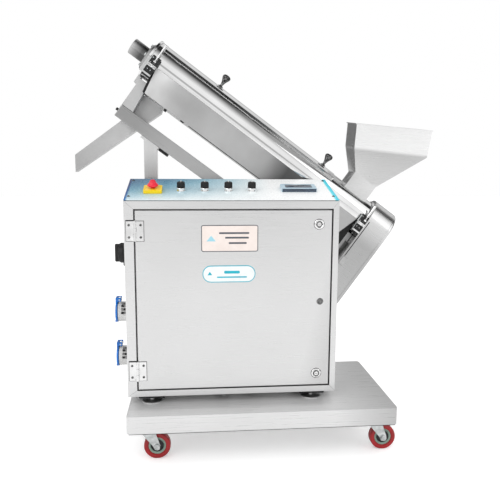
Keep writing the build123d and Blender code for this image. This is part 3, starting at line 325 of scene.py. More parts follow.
@dataclass(frozen=True)
class PolishedStainless(Finish):
    """Buffed stainless: sharp reflections that wander a little, with hairline wiping marks."""

    light: str = "#f3f3f3"
    dark: str = "#e6e6e6"
    roughness: float = 0.1
    wave_mm: float = 90.0

    def dress(self, tree: bpy.types.NodeTree, shader: bpy.types.Node) -> None:
        """Bend the surface slowly with wide noise and vary its gloss with thin wiping marks.

        Args:
            tree: The material's node tree.
            shader: Its Principled shader.
        """
        place = add_node(tree, "TexCoord").outputs["Object"]
        wave = add_node(
            tree, "TexNoise", {"Vector": place, "Scale": 1.0 / (self.wave_mm * MM), "Detail": 1.0}
        )
        wiped = add_node(
            tree,
            "Mapping",
            {"Vector": place, "Rotation": (0.0, -TUBE_SLOPE, 0.3), "Scale": (9.0, 420.0, 420.0)},
        )
        marks = add_node(
            tree, "TexNoise", {"Vector": wiped.outputs[0], "Scale": 1.0, "Detail": 3.0}
        )
        tone = add_node(tree, "ValToRGB", {0: wave.outputs[0]})
        set_stops(tone, [(0.3, srgb(self.dark)), (0.7, srgb(self.light))])
        gloss = add_node(
            tree,
            "MapRange",
            {0: marks.outputs[0], 1: 0.35, 2: 0.75, 3: self.roughness * 0.6, 4: self.roughness * 1.8},
        )
        relief = add_node(
            tree, "Bump", {"Strength": 0.12, "Distance": 1.2 * MM, "Height": wave.outputs[0]}
        )
        join_metal(tree, shader, tone.outputs[0], gloss, relief)


@dataclass(frozen=True)
class BlastedStainless(Finish):
    """Bead-blasted stainless: an even grey sheen with a fine pebbled skin and handling smears."""

    light: str = "#cfcfcf"
    dark: str = "#bebebe"
    roughness: float = 0.4
    shade: Shade | None = None
    bead_mm: float = 1.6
    smear_mm: float = 130.0

    def dress(self, tree: bpy.types.NodeTree, shader: bpy.types.Node) -> None:
        """Pebble the surface with fine noise and darken it in slow smears.

        Args:
            tree: The material's node tree.
            shader: Its Principled shader.
        """
        place = add_node(tree, "TexCoord").outputs["Object"]
        # Blast beads leave dents of about 0.1 mm; they are drawn larger so that they show.
        bead = add_node(
            tree, "TexNoise", {"Vector": place, "Scale": 1.0 / (self.bead_mm * MM), "Detail": 3.0}
        )
        smear = add_node(
            tree,
            "TexNoise",
            {"Vector": place, "Scale": 1.0 / (self.smear_mm * MM), "Detail": 3.0, "Distortion": 0.5},
        )
        blend = add_node(
            tree, "Mix", {0: 0.25, 2: smear.outputs[0], 3: bead.outputs[0]}, {"data_type": "FLOAT"}
        )
        tone = add_node(tree, "ValToRGB", {0: blend.outputs[0]})
        set_stops(tone, [(0.32, srgb(self.dark)), (0.66, srgb(self.light))])
        gloss = add_node(
            tree,
            "MapRange",
            {0: smear.outputs[0], 1: 0.3, 2: 0.7, 3: self.roughness - 0.07, 4: self.roughness + 0.08},
        )
        relief = add_node(
            tree, "Bump", {"Strength": 0.1, "Distance": 0.3 * MM, "Height": bead.outputs[0]}
        )
        colour = self.shade.applied(tree, place, tone.outputs[0]) if self.shade else tone.outputs[0]
        join_metal(tree, shader, colour, gloss, relief)


@dataclass(frozen=True)
class MouldedPlastic(Finish):
    """Injection-moulded plastic or rubber: even colour, a spark-eroded texture and a slow shift of colour as
    if handled.
    """

    colour: str = "#202124"
    worn: str = "#2e3034"
    roughness: float = 0.4
    texture_mm: float = 1.2
    coat: float = 0.0
    relief: float = 0.15

    def dress(self, tree: bpy.types.NodeTree, shader: bpy.types.Node) -> None:
        """Grain the surface with fine cells and shift the colour slowly as if handled.

        Args:
            tree: The material's node tree.
            shader: Its Principled shader.
        """
        place = add_node(tree, "TexCoord").outputs["Object"]
        # Mould texture is about 0.05 mm deep and 0.2 mm wide; it is drawn coarser so that it shows.
        cell = add_node(
            tree, "TexVoronoi", {"Vector": place, "Scale": 1.0 / (self.texture_mm * MM)}
        )
        wear = add_node(
            tree, "TexNoise", {"Vector": place, "Scale": 28.0, "Detail": 4.0, "Roughness": 0.6}
        )
        tone = add_node(tree, "ValToRGB", {0: wear.outputs[0]})
        set_stops(tone, [(0.42, srgb(self.colour)), (0.72, srgb(self.worn))])
        gloss = add_node(
            tree,
            "MapRange",
            {0: wear.outputs[0], 1: 0.3, 2: 0.7, 3: self.roughness - 0.05, 4: self.roughness + 0.07},
        )
        bump = add_node(
            tree,
            "Bump",
            {"Strength": self.relief, "Distance": 0.15 * MM, "Height": cell.outputs[0]},
        )
        tree.links.new(tone.outputs[0], shader.inputs["Base Color"])
        tree.links.new(gloss.outputs[0], shader.inputs["Roughness"])
        tree.links.new(bump.outputs[0], shader.inputs["Normal"])
        shader.inputs["IOR"].default_value = 1.49
        shader.inputs["Coat Weight"].default_value = self.coat
        shader.inputs["Coat Roughness"].default_value = 0.08


@dataclass(frozen=True)
class PrintedOverlay(Finish):
    """Screen-printed polyester on the control panel: blue at the left fading into white."""

    left: float = 0.0
    right: float = 1.0
    back: float = 1.0
    front: float = 0.0

    def dress(self, tree: bpy.types.NodeTree, shader: bpy.types.Node) -> None:
        """Spray blue that is strongest at the back left corner, between two ruled side strips.

        Args:
            tree: The material's node tree.
            shader: Its Principled shader.
        """
        place = add_node(tree, "TexCoord").outputs["Object"]
        axis = add_node(tree, "SeparateXYZ", {0: place})
        across = add_node(tree, "MapRange", {0: axis.outputs[0], 1: self.left, 2: self.right})
        depth = add_node(
            tree, "MapRange", {0: axis.outputs[1], 1: self.front, 2: self.back, 3: 0.16, 4: 1.0}
        )
        fade = add_node(tree, "MapRange", {0: across.outputs[0], 1: 0.0, 2: 0.7, 3: 1.2, 4: 0.0})
        dots = add_node(tree, "TexNoise", {"Vector": place, "Scale": 260.0, "Detail": 2.0})
        spray = add_node(tree, "MapRange", {0: dots.outputs[0], 1: 0.3, 2: 0.7, 3: 0.86, 4: 1.14})
        soft = add_node(
            tree, "Math", {0: fade.outputs[0], 1: depth.outputs[0]}, {"operation": "MULTIPLY"}
        )
        amount = add_node(
            tree, "Math", {0: soft.outputs[0], 1: spray.outputs[0]}, {"operation": "MULTIPLY"}
        )
        blues = add_node(tree, "ValToRGB", {0: amount.outputs[0]})
        stops = [
            (0.0, "#fcfdfd"), (0.1, "#edf6f8"), (0.3, "#b9d5df"), (0.55, "#7fafc2"), (0.8, "#4f86a3"),
            (1.0, "#3a6b8c"),
        ]
        set_stops(blues, [(at, srgb(code)) for at, code in stops])
        edges = add_node(tree, "ValToRGB", {0: across.outputs[0]})
        strips = [
            (0.0, "#1560a8"), (0.008, "#2f8ccf"), (0.014, "#ffffff"), (0.978, "#ffffff"), (0.984, "#52e0ee"),
            (1.0, "#36c8e2"),
        ]
        set_stops(edges, [(at, srgb(code)) for at, code in strips])
        printed = add_node(
            tree,
            "Mix",
            {0: 1.0, 6: blues.outputs[0], 7: edges.outputs[0]},
            {"data_type": "RGBA", "blend_type": "MULTIPLY"},
        )
        # The film's orange peel is about 2 mm from crest to crest.
        peel = add_node(tree, "TexNoise", {"Vector": place, "Scale": 500.0, "Detail": 2.0})
        bump = add_node(
            tree, "Bump", {"Strength": 0.06, "Distance": 0.2 * MM, "Height": peel.outputs[0]}
        )
        gloss = add_node(tree, "MapRange", {0: peel.outputs[0], 1: 0.3, 2: 0.7, 3: 0.22, 4: 0.32})
        tree.links.new(printed.outputs[2], shader.inputs["Base Color"])
        tree.links.new(gloss.outputs[0], shader.inputs["Roughness"])
        tree.links.new(bump.outputs[0], shader.inputs["Normal"])
        shader.inputs["IOR"].default_value = 1.57


# Every shade below is drawn light or shadow, as the Shade class says, and not wear or polish.
# Painted shade: the door is drawn darker towards its lower right edge and a little towards its left.
DOOR_PAINTED_SHADE = Shade((1.0, 0.0, -0.25), ((-0.5, 0.97), (-0.2, 1.0), (0.05, 1.0), (0.12, 0.86)))
SHEET = BrushedStainless("stainless_304_belt_brushed")
SHEET_DOOR = BrushedStainless("stainless_304_door_brushed_painted_shade", shade=DOOR_PAINTED_SHADE)
# Painted shade: the posts are drawn darker up to about 0.8 m high and light near their tops.
SHEET_UPRIGHT = BrushedStainless(
    "stainless_304_post_brushed_painted_shade",
    grain=Grain.ALONG_Z,
    shade=Shade((0.0, 0.0, 1.0), ((0.15, 0.8), (0.80, 0.68), (0.87, 0.95), (1.0, 0.98))),
)
# Painted shade: the beam is drawn darkest at the tube's upper end and lighter further down.
SHEET_SLOPING = BrushedStainless(
    "stainless_304_beam_brushed_painted_shade", grain=Grain.ALONG_TUBE, shade=along_tube(
        (-20, 0.48), (60, 0.5), (180, 0.66), (420, 0.72)
    )
)
# Painted shade: the belt guard is drawn darker below the tube's axis than above it.
SHEET_GUARD = BrushedStainless(
    "stainless_304_guard_brushed_painted_shade",
    grain=Grain.ALONG_TUBE,
    roughness=0.24,
    shade=above_tube((-300, 0.66), (-160, 0.62), (-70, 0.62), (-10, 0.92), (60, 1.0)),
)
# Painted shade: the hopper's taper is drawn darker than the band under its rim.
SHEET_HOPPER = BrushedStainless(
    "stainless_304_hopper_satin_painted_shade",
    roughness=0.24,
    light="#fafafa",
    dark="#f0f0f0",
    shade=Shade((0.1, 0.0, 1.0), ((0.78, 0.78), (0.86, 0.7), (0.905, 0.62), (0.916, 1.0), (1.0, 1.0))),
)
# Painted shade: the deck is drawn a little darker overall and darker still towards its right end.
DECK_SHEET = BrushedStainless(
    "stainless_304_deck_buffed_painted_shade",
    roughness=0.3,
    light="#e6e6e6",
    dark="#dfdfdf",
    metallic=0.4,
    shade=Shade((1.0, 0.0, 0.0), ((-0.39, 0.94), (0.2, 0.94), (0.34, 0.66), (0.385, 0.6))),
)
TUBE_METAL = PolishedStainless("stainless_316_tube_mirror_polished", roughness=0.07)
BRIGHT = PolishedStainless("stainless_fittings_buffed", roughness=0.1, wave_mm=25.0)
# Painted light and shade down the trough: a painted highlight near its upper end, painted shade further down
# and a dark painted reflection from about 450 to 720 mm.
TROUGH_METAL = BlastedStainless(
    "stainless_304_trough_blasted_painted_light_and_shade",
    shade=along_tube(
        (20, 1.2), (60, 1.3), (110, 1.0), (160, 0.86), (380, 0.88), (450, 0.72), (520, 0.2), (640, 0.3),
        (720, 0.85),
    ),
)
# Painted light and shade along the chute: drawn darker at both ends, with a painted highlight near x = -0.4 m.
CHUTE_METAL = BlastedStainless(
    "stainless_304_chute_blasted_painted_light_and_shade",
    shade=Shade(
        (1.0, 0.0, 0.0),
        ((-0.57, 0.76), (-0.5, 0.82), (-0.44, 0.96), (-0.4, 1.0), (-0.36, 0.74), (-0.28, 0.84)),
    ),
)
BRACKET_METAL = BlastedStainless("stainless_bracket_blasted", light="#c6c6c6", dark="#b8b8b8")
# Painted shade: the housings are drawn with a dark band from about 70 to 32 mm beyond the tube's upper end,
# and at 0.7 of their tone from there down the tube.
HOUSING_METAL = BlastedStainless(
    "stainless_bearing_housing_turned_painted_shade",
    light="#cccccc",
    dark="#c0c0c0",
    roughness=0.3,
    shade=along_tube((-88, 1.0), (-70, 0.5), (-50, 0.16), (-34, 0.14), (-32, 0.7), (0, 0.7)),
)
ZINC = PolishedStainless(
    "steel_zinc_plated_pressed", light="#d9dcdc", dark="#b4b8b8", roughness=0.24, wave_mm=14.0
)
# Painted shade: this steel is drawn dark grey so that screw heads show the shade of their cross recesses and
# countersinks; key barrels, the blanking plug and socket hooks share it.
SCREW_STEEL = PolishedStainless(
    "steel_screw_painted_recess_shade", light="#8c8c8c", dark="#6a6a6a", roughness=0.22, wave_mm=8.0
)
# Painted reflection: the chrome lifting knobs are drawn dark grey, standing in for the dark surroundings that
# they mirror.
KNOB_STEEL = PolishedStainless(
    "steel_knob_chrome_painted_dark_reflection", light="#7c7c7c", dark="#3c3c3c", roughness=0.14, wave_mm=9.0
)
# The lip's channel and its fading darkness imitate the dark band that a mirror-bright tube reflects.
LIP_PAINTED_REFLECTION = BrushedStainless(
    "steel_lid_lip_painted_reflection",
    grain=Grain.ALONG_TUBE,
    roughness=0.2,
    light="#d8d8d8",
    dark="#c8c8c8",
    shade=along_tube((6, 0.1), (260, 0.06), (400, 0.2), (470, 0.75), (650, 0.8)),
)
TREAD = MouldedPlastic("polyurethane_tread_cast", "#a20e16", "#7e0a10", 0.35, 2.0, 0.1, 0.1)
HUB_RING = MouldedPlastic("nylon_hub_ring_moulded", "#7f978a", "#94a79b", 0.42)
HUB_CORE = MouldedPlastic("nylon_hub_core_moulded", "#1a1c1e", "#26282a", 0.4)
RUBBER = MouldedPlastic("nitrile_rubber_moulded", "#0e0e0f", "#18191a", 0.7, 1.0)
BLACK = MouldedPlastic("polyamide_black_spark_textured", "#08090a", "#101113", 0.5)
YELLOW = MouldedPlastic("abs_safety_yellow_moulded", "#ffdc06", "#f8cf04", 0.28, 1.5, 0.2, 0.06)
RED = MouldedPlastic("abs_signal_red_moulded", "#f0203f", "#dd1430", 0.25, 1.5, 0.3, 0.05)
BLUE = MouldedPlastic("polyamide_socket_blue_moulded", "#0a76d2", "#0860b0", 0.3, 1.2, 0.1, 0.08)
GREY = MouldedPlastic("polyamide_light_grey_moulded", "#dcdcdb", "#cbcbca", 0.42)
WHITE = MouldedPlastic("plate_enamel_ivory_baked", "#eee2dc", "#e7dad3", 0.3, 2.0, 0.1, 0.03)
BADGE_WHITE = MouldedPlastic("badge_enamel_white_baked", "#eef2f2", "#e6ebeb", 0.3, 2.0, 0.1, 0.03)
CYAN = MouldedPlastic("plate_ink_cyan_printed", "#12b4c8", "#0fa0b8", 0.35, 2.0, 0.1, 0.03)
INK = MouldedPlastic("plate_ink_slate_printed", "#4a4f57", "#565c64", 0.4, 2.0, 0.1, 0.03)
PALE_INK = MouldedPlastic("plate_ink_pale_blue_printed", "#9fd4e2", "#8cc8d9", 0.4, 2.0, 0.1, 0.03)
SCREEN_GLASS = MouldedPlastic("acrylic_display_window_navy", "#1c2f45", "#24405a", 0.12, 3.0, 0.8, 0.02)
DISPLAY_CASE = MouldedPlastic("abs_display_case_pale_blue", "#b9cfdb", "#a8c2d0", 0.3, 1.5, 0.2, 0.05)
NYLON = MouldedPlastic("nylon_filament_white_crimped", "#efeee6", "#dcdad0", 0.45, 0.8)
MOTOR_PAINT = MouldedPlastic("motor_enamel_grey_hammered", "#6d7a82", "#5b676f", 0.35, 3.5, 0.3, 0.5)
CABLE_DUCT = MouldedPlastic("pvc_wiring_duct_grey_extruded", "#9aa0a4", "#8b9195", 0.5)
TERMINAL = MouldedPlastic("polyamide_terminal_beige_moulded", "#c9c2ae", "#b9b29e", 0.45)


# ------------------------------------------------------------------ surfaces
@dataclass
class Surface:
    """Points and faces of one shape, before it becomes a mesh."""

    points: np.ndarray
    faces: list[tuple[int, ...]]


@dataclass(frozen=True)
class Placement:
    """A local frame: an origin and three unit axes as the rows of a matrix."""

    origin: np.ndarray
    axes: np.ndarray = field(default_factory=lambda: np.eye(3))

    def moved(self, shape: Surface) -> Surface:
        """Carry a shape from this frame into the machine's frame."""
        return Surface(self.origin + shape.points @ self.axes, shape.faces)

    def offset(self, x: float = 0.0, y: float = 0.0, z: float = 0.0) -> "Placement":
        """Return the same frame with its origin moved along its own axes."""
        return Placement(self.origin + np.array([x, y, z]) @ self.axes, self.axes)


def frame_about(origin: Sequence[float], axis: Sequence[float], towards: Sequence[float]) -> Placement:
    """Build a frame whose third axis is given and whose first axis leans towards a direction.

    Args:
        origin: Origin of the frame.
        axis: Direction of the third axis.
        towards: Direction that the first axis is nearest to.

    Returns:
        A right-handed placement.
    """
    third = np.array(axis, float) / np.linalg.norm(axis)
    first = np.array(towards, float) - third * float(np.dot(towards, third))
    first /= np.linalg.norm(first)
    return Placement(np.array(origin, float), np.array([first, np.cross(third, first), third]))


def in_mm(pairs: Sequence[tuple[float, float]]) -> list[tuple[float, float]]:
    """Turn an outline given in millimetres into metres."""
    return [(across * MM, along * MM) for across, along in pairs]


def grid_faces(rows: int, columns: int, wrap_rows: bool, wrap_columns: bool) -> list[tuple[int, ...]]:
    """Number the quads of a grid whose point (i, j) is at i * columns + j.

    Args:
        rows: Number of rows.
        columns: Number of columns.
        wrap_rows: Whether the last row joins the first.
        wrap_columns: Whether the last column joins the first.

    Returns:
        One tuple of four point numbers for each quad.
    """
    i, j = np.meshgrid(
        np.arange(rows if wrap_rows else rows - 1), np.arange(
            columns if wrap_columns else columns - 1
        ), indexing="ij"
    )
    i, j = i.ravel(), j.ravel()
    below, beside = (i + 1) % rows, (j + 1) % columns
    quads = np.stack(
        [i * columns + j, i * columns + beside, below * columns + beside, below * columns + j], axis=1
    )
    return [tuple(q) for q in quads.tolist()]


def grid_surface(points: np.ndarray, wrap_rows: bool = False, wrap_columns: bool = False) -> Surface:
    """Make a surface from a rows by columns by 3 array of points."""
    rows, columns = points.shape[:2]
    return Surface(points.reshape(-1, 3), grid_faces(rows, columns, wrap_rows, wrap_columns))


def turned(
    profile: Sequence[tuple[float, float]],
    segments: int = 48,
    ripple: Callable[..., np.ndarray] | None = None,
) -> Surface:
    """Turn a profile about Z: the point at angle t and step i is (r cos t, r sin t, z).

    Args:
        profile: Radius and height of each step, in metres; a radius of zero closes a pole.
        segments: Number of steps round the circle.
        ripple: Optional factor on the radius as a function of angle and height grids.

    Returns:
        The turned surface.
    """
    steps = np.array(profile, float)
    angle = np.linspace(0.0, FULL_TURN, segments, endpoint=False)
    radius, turn = np.meshgrid(steps[:, 0], angle, indexing="ij")
    height = np.repeat(steps[:, 1:2], segments, axis=1)
    if ripple is not None:
        radius = radius * ripple(turn, height)
    return grid_surface(
        np.stack([radius * np.cos(turn), radius * np.sin(turn), height], axis=-1), wrap_columns=True
    )


def rounded_outline(width: float, depth: float, corner: float, per_corner: int = 7) -> np.ndarray:
    """Outline of a rectangle with round corners: four quarter circles, one after the other.

    Args:
        width: Size along X.
        depth: Size along Y.
        corner: Corner radius.
        per_corner: Number of points on each corner.

    Returns:
        Points by two array, anticlockwise.
    """
    corner = min(corner, width / 2 - 1e-5, depth / 2 - 1e-5)
    quarter = np.linspace(0.0, math.pi / 2, per_corner)
    starts = np.arange(4) * math.pi / 2
    angle = (starts[:, None] + quarter[None, :]).ravel()
    sign_x = np.repeat([1, -1, -1, 1], per_corner)
    sign_y = np.repeat([1, 1, -1, -1], per_corner)
    x = sign_x * (width / 2 - corner) + corner * np.cos(angle)
    y = sign_y * (depth / 2 - corner) + corner * np.sin(angle)
    return np.stack([x, y], axis=1)


def stacked(outline: Callable[[float], np.ndarray], levels: Sequence[tuple[float, float]]) -> Surface:
    """Stack inset outlines at rising heights and close both ends on a middle point.

    Args:
        outline: Gives the outline for an inset in metres.
        levels: Inset and height of each level.

    Returns:
        A closed surface.
    """
    rings = [
        np.column_stack([outline(inset), np.full(len(outline(inset)), height)]) for inset, height in levels
    ]
    bottom, top = rings[0].copy(), rings[-1].copy()
    bottom[:, :2], top[:, :2] = rings[0][:, :2].mean(0), rings[-1][:, :2].mean(0)
    return grid_surface(np.stack([bottom, *rings, top]), wrap_columns=True)


def cushion_block(width: float, depth: float, low: float, high: float, corner: float, edge: float) -> Surface:
    """Block with round upright corners whose top and bottom edges follow quarter circles.

    Args:
        width: Size along X.
        depth: Size along Y.
        low: Height of its underside.
        high: Height of its top.
        corner: Radius of the upright corners.
        edge: Radius of the top and bottom edges.

    Returns:
        A closed surface about the Z axis.
    """
    bend = np.linspace(0.0, math.pi / 2, 5)
    lower = [(edge * (1 - math.sin(b)), low + edge * (1 - math.cos(b))) for b in bend]
    upper = [(edge * (1 - math.cos(b)), high - edge * (1 - math.sin(b))) for b in bend]
    return stacked(
        lambda inset: rounded_outline(width - 2 * inset, depth - 2 * inset, max(corner - inset, 1e-4)),
        lower + upper,
    )


def hexagon_head(across_flats: float, low: float, high: float) -> Surface:
    """Hexagon bolt head with a chamfered top."""
    radius = across_flats / math.sqrt(3.0)
    angle = np.arange(6) * math.pi / 3

    def outline(inset: float) -> np.ndarray:
        """Six corners, drawn in by the inset."""
        return np.stack([(radius - inset) * np.cos(angle), (radius - inset) * np.sin(angle)], axis=1)

    return stacked(outline, [(0.0, low), (0.0, high - 0.8 * MM), (1.0 * MM, high)])


def cross_head(radius: float, low: float, high: float, segments: int = 40) -> Surface:
    """Domed screw head with a cross recess.

    The height on the dome is high minus a square law of the radius, less the recess depth where
    either |x| or |y| is under a seventh of the radius and the point lies inside half the radius.

    Args:
        radius: Head radius.
        low: Height of the seat.
        high: Height of the crown.
        segments: Number of steps round.

    Returns:
        A closed surface about the Z axis.
    """
    rings = np.concatenate([[0.0], np.linspace(0.06, 1.0, 16)]) * radius
    angle = np.linspace(0.0, FULL_TURN, segments, endpoint=False)
    ring, turn = np.meshgrid(rings, angle, indexing="ij")
    x, y = ring * np.cos(turn), ring * np.sin(turn)
    dome = high - (high - low) * 0.75 * (ring / radius) ** 2
    inside = (np.minimum(np.abs(x), np.abs(y)) < radius * 0.14) & (ring < radius * 0.55)
    top = np.stack([x, y, dome - inside * (high - low) * 0.6], axis=-1)
    skirt = np.stack([x[-1], y[-1], np.full(segments, low)], axis=-1)[None]
    base = np.stack([np.zeros(segments), np.zeros(segments), np.full(segments, low)], axis=-1)[None]
    return grid_surface(np.concatenate([top, skirt, base]), wrap_columns=True)


def tube_along(path: np.ndarray, radius: float, sides: int = 10) -> Surface:
    """Carry a circle along a path: each point is the path point plus r (cos t n + sin t b).

    Args:
        path: Points by three array.
        radius: Radius of the circle.
        sides: Number of steps round it.

    Returns:
        A surface with both ends closed on the path.
    """
    ahead = np.gradient(path, axis=0)
    ahead /= np.linalg.norm(ahead, axis=1, keepdims=True)
    helper = np.where(np.abs(ahead[:, 2:3]) > 0.9, np.array([[1.0, 0.0, 0.0]]), np.array([[0.0, 0.0, 1.0]]))
    side = np.cross(ahead, helper)
    side /= np.linalg.norm(side, axis=1, keepdims=True)
    up = np.cross(side, ahead)
    turn = np.linspace(0.0, FULL_TURN, sides, endpoint=False)
    ring = side[:, None] * np.cos(turn)[None, :, None] + up[:, None] * np.sin(turn)[None, :, None]
    wall = path[:, None] + radius * ring
    ends = [np.repeat(path[k][None, None], sides, axis=1) for k in (0, -1)]
    return grid_surface(np.concatenate([ends[0], wall, ends[1]]), wrap_columns=True)


# ------------------------------------------------------------------ pieces
@dataclass(frozen=True)
class Dressing:
    """How a piece is finished and what it stands for."""

    finish: Finish
    body: str
    slot: str
    nodes: tuple[str, ...] = ()
    sharp_deg: float = 32.0
    edge_mm: float = 0.0


def settle(piece: bpy.types.Object, how: Dressing) -> bpy.types.Object:
    """Give a piece its finish, its smooth shading, its rolled edges and its body.

    Args:
        piece: Mesh object with its place already in its mesh.
        how: Finish, body, slot and replaced nodes.

    Returns:
        The same object.
    """
    mesh = piece.data
    mesh.materials.clear()
    mesh.materials.append(how.finish.material())
    mesh.polygons.foreach_set("use_smooth", np.ones(len(mesh.polygons), bool))
    mesh.set_sharp_from_angle(angle=math.radians(how.sharp_deg))
    if how.edge_mm > 0:
        roll = piece.modifiers.new("rolled_edges", "BEVEL")
        roll.width = how.edge_mm * MM
        roll.segments = 2
        roll.limit_method = "ANGLE"
        roll.angle_limit = math.radians(how.sharp_deg)
        roll.use_clamp_overlap = True
        roll.harden_normals = True
    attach(piece, how.body)
    if how.nodes:
        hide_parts(*how.nodes)
    LOG.info("%s: %d faces on %s", piece.name, len(mesh.polygons), how.body)
    return piece


def make_piece(name: str, shapes: Sequence[Surface], how: Dressing) -> bpy.types.Object:
    """Join surfaces into one mesh object with closed seams and outward normals.

    Args:
        name: Name of the piece.
        shapes: Surfaces in the machine's frame.
        how: Finish, body, slot and replaced nodes.

    Returns:
        The finished object.
    """
    starts = np.cumsum([0] + [len(s.points) for s in shapes])
    points = np.concatenate([s.points for s in shapes])
    faces = [tuple(int(k + start) for k in face) for s, start in zip(shapes, starts) for face in s.faces]
    mesh = bpy.data.meshes.new(name)
    mesh.from_pydata(points.tolist(), [], faces)
    shell = bmesh.new()
    shell.from_mesh(mesh)
    bmesh.ops.remove_doubles(shell, verts=shell.verts, dist=2e-6)
    bmesh.ops.recalc_face_normals(shell, faces=shell.faces)
    shell.to_mesh(mesh)
    shell.free()
    piece = bpy.data.objects.new(name, mesh)
    bpy.context.scene.collection.objects.link(piece)
    return settle(piece, how)


def islands(shell: bmesh.types.BMesh) -> list[list[bmesh.types.BMVert]]:
    """Sort the points of a mesh into its connected islands.

    Args:
        shell: Mesh whose doubles are already merged.

    Returns:
        One list of points for each island.
    """
    shell.verts.index_update()
    seen: set[int] = set()
    groups = []
    for vert in shell.verts:
        if vert.index in seen:
            continue
        stack, group = [vert], []
        seen.add(vert.index)
        while stack:
            here = stack.pop()
            group.append(here)
            others = [edge.other_vert(here) for edge in here.link_edges]
            fresh = [other for other in others if other.index not in seen]
            seen.update(other.index for other in fresh)
            stack.extend(fresh)
        groups.append(group)
    return groups


def reach_of(group: Sequence[bmesh.types.BMVert]) -> tuple[np.ndarray, np.ndarray]:
    """Return the lowest and highest corner of a group of points."""
    box = np.array([tuple(vert.co) for vert in group])
    return box.min(0), box.max(0)


def soften(
    node: str, how: Dressing, name: str = "", wanted: Callable[[np.ndarray, np.ndarray], bool] | None = None
) -> bpy.types.Object:
    """Copy a sheet metal or machined node, merge its loose triangles and roll its edges.

    Args:
        node: CAD node to copy.
        how: Finish, body and slot; the node is added to what the piece replaces.
        name: Name of the piece, or the node's own with an ending.
        wanted: Tells from its lowest and highest corner whether a separate solid is kept.

    Returns:
        The finished object.
    """
    mesh = frame["nodes"][node].data.copy()
    mesh.name = name or f"{node}_formed"
    shell = bmesh.new()
    shell.from_mesh(mesh)
    bmesh.ops.remove_doubles(shell, verts=shell.verts, dist=5e-6)
    if wanted is not None:
        unwanted = [v for group in islands(shell) if not wanted(*reach_of(group)) for v in group]
        bmesh.ops.delete(shell, geom=unwanted, context="VERTS")
    bmesh.ops.dissolve_limit(shell, angle_limit=math.radians(0.6), verts=shell.verts, edges=shell.edges)
    shell.to_mesh(mesh)
    shell.free()
    if mesh.has_custom_normals:
        mesh.normals_split_custom_set([(0.0, 0.0, 0.0)] * len(mesh.loops))
    piece = bpy.data.objects.new(mesh.name, mesh)
    bpy.context.scene.collection.objects.link(piece)
    return settle(
        piece, Dressing(how.finish, how.body, how.slot, (node, *how.nodes), how.sharp_deg, how.edge_mm)
    )


def keep(node: str, finish: Finish) -> None:
    """Leave a CAD node showing and give its material slots a finish."""
    mesh = frame["nodes"][node].data
    mesh.materials.clear()
    mesh.materials.append(finish.material())
    LOG.info("%s: kept with %s", node, finish.name)


def joint_named(name: str) -> dict[str, Any]:
    """Return the record's joint of that name."""
    return next(j for j in frame["joints"] if j["name"] == name)


def corners(node: str) -> tuple[np.ndarray, np.ndarray]:
    """Return a node's lowest and highest corner as arrays."""
    low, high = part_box(node)
    return np.array(low), np.array(high)


def loose_parts(node: str) -> list[tuple[np.ndarray, np.ndarray]]:
    """Find the lowest and highest corner of each separate solid of a node, by its first corner."""
    shell = bmesh.new()
    shell.from_mesh(frame["nodes"][node].data)
    bmesh.ops.remove_doubles(shell, verts=shell.verts, dist=5e-6)
    found = [reach_of(group) for group in islands(shell)]
    shell.free()
    return sorted(found, key=lambda pair: tuple(pair[0].round(4)))


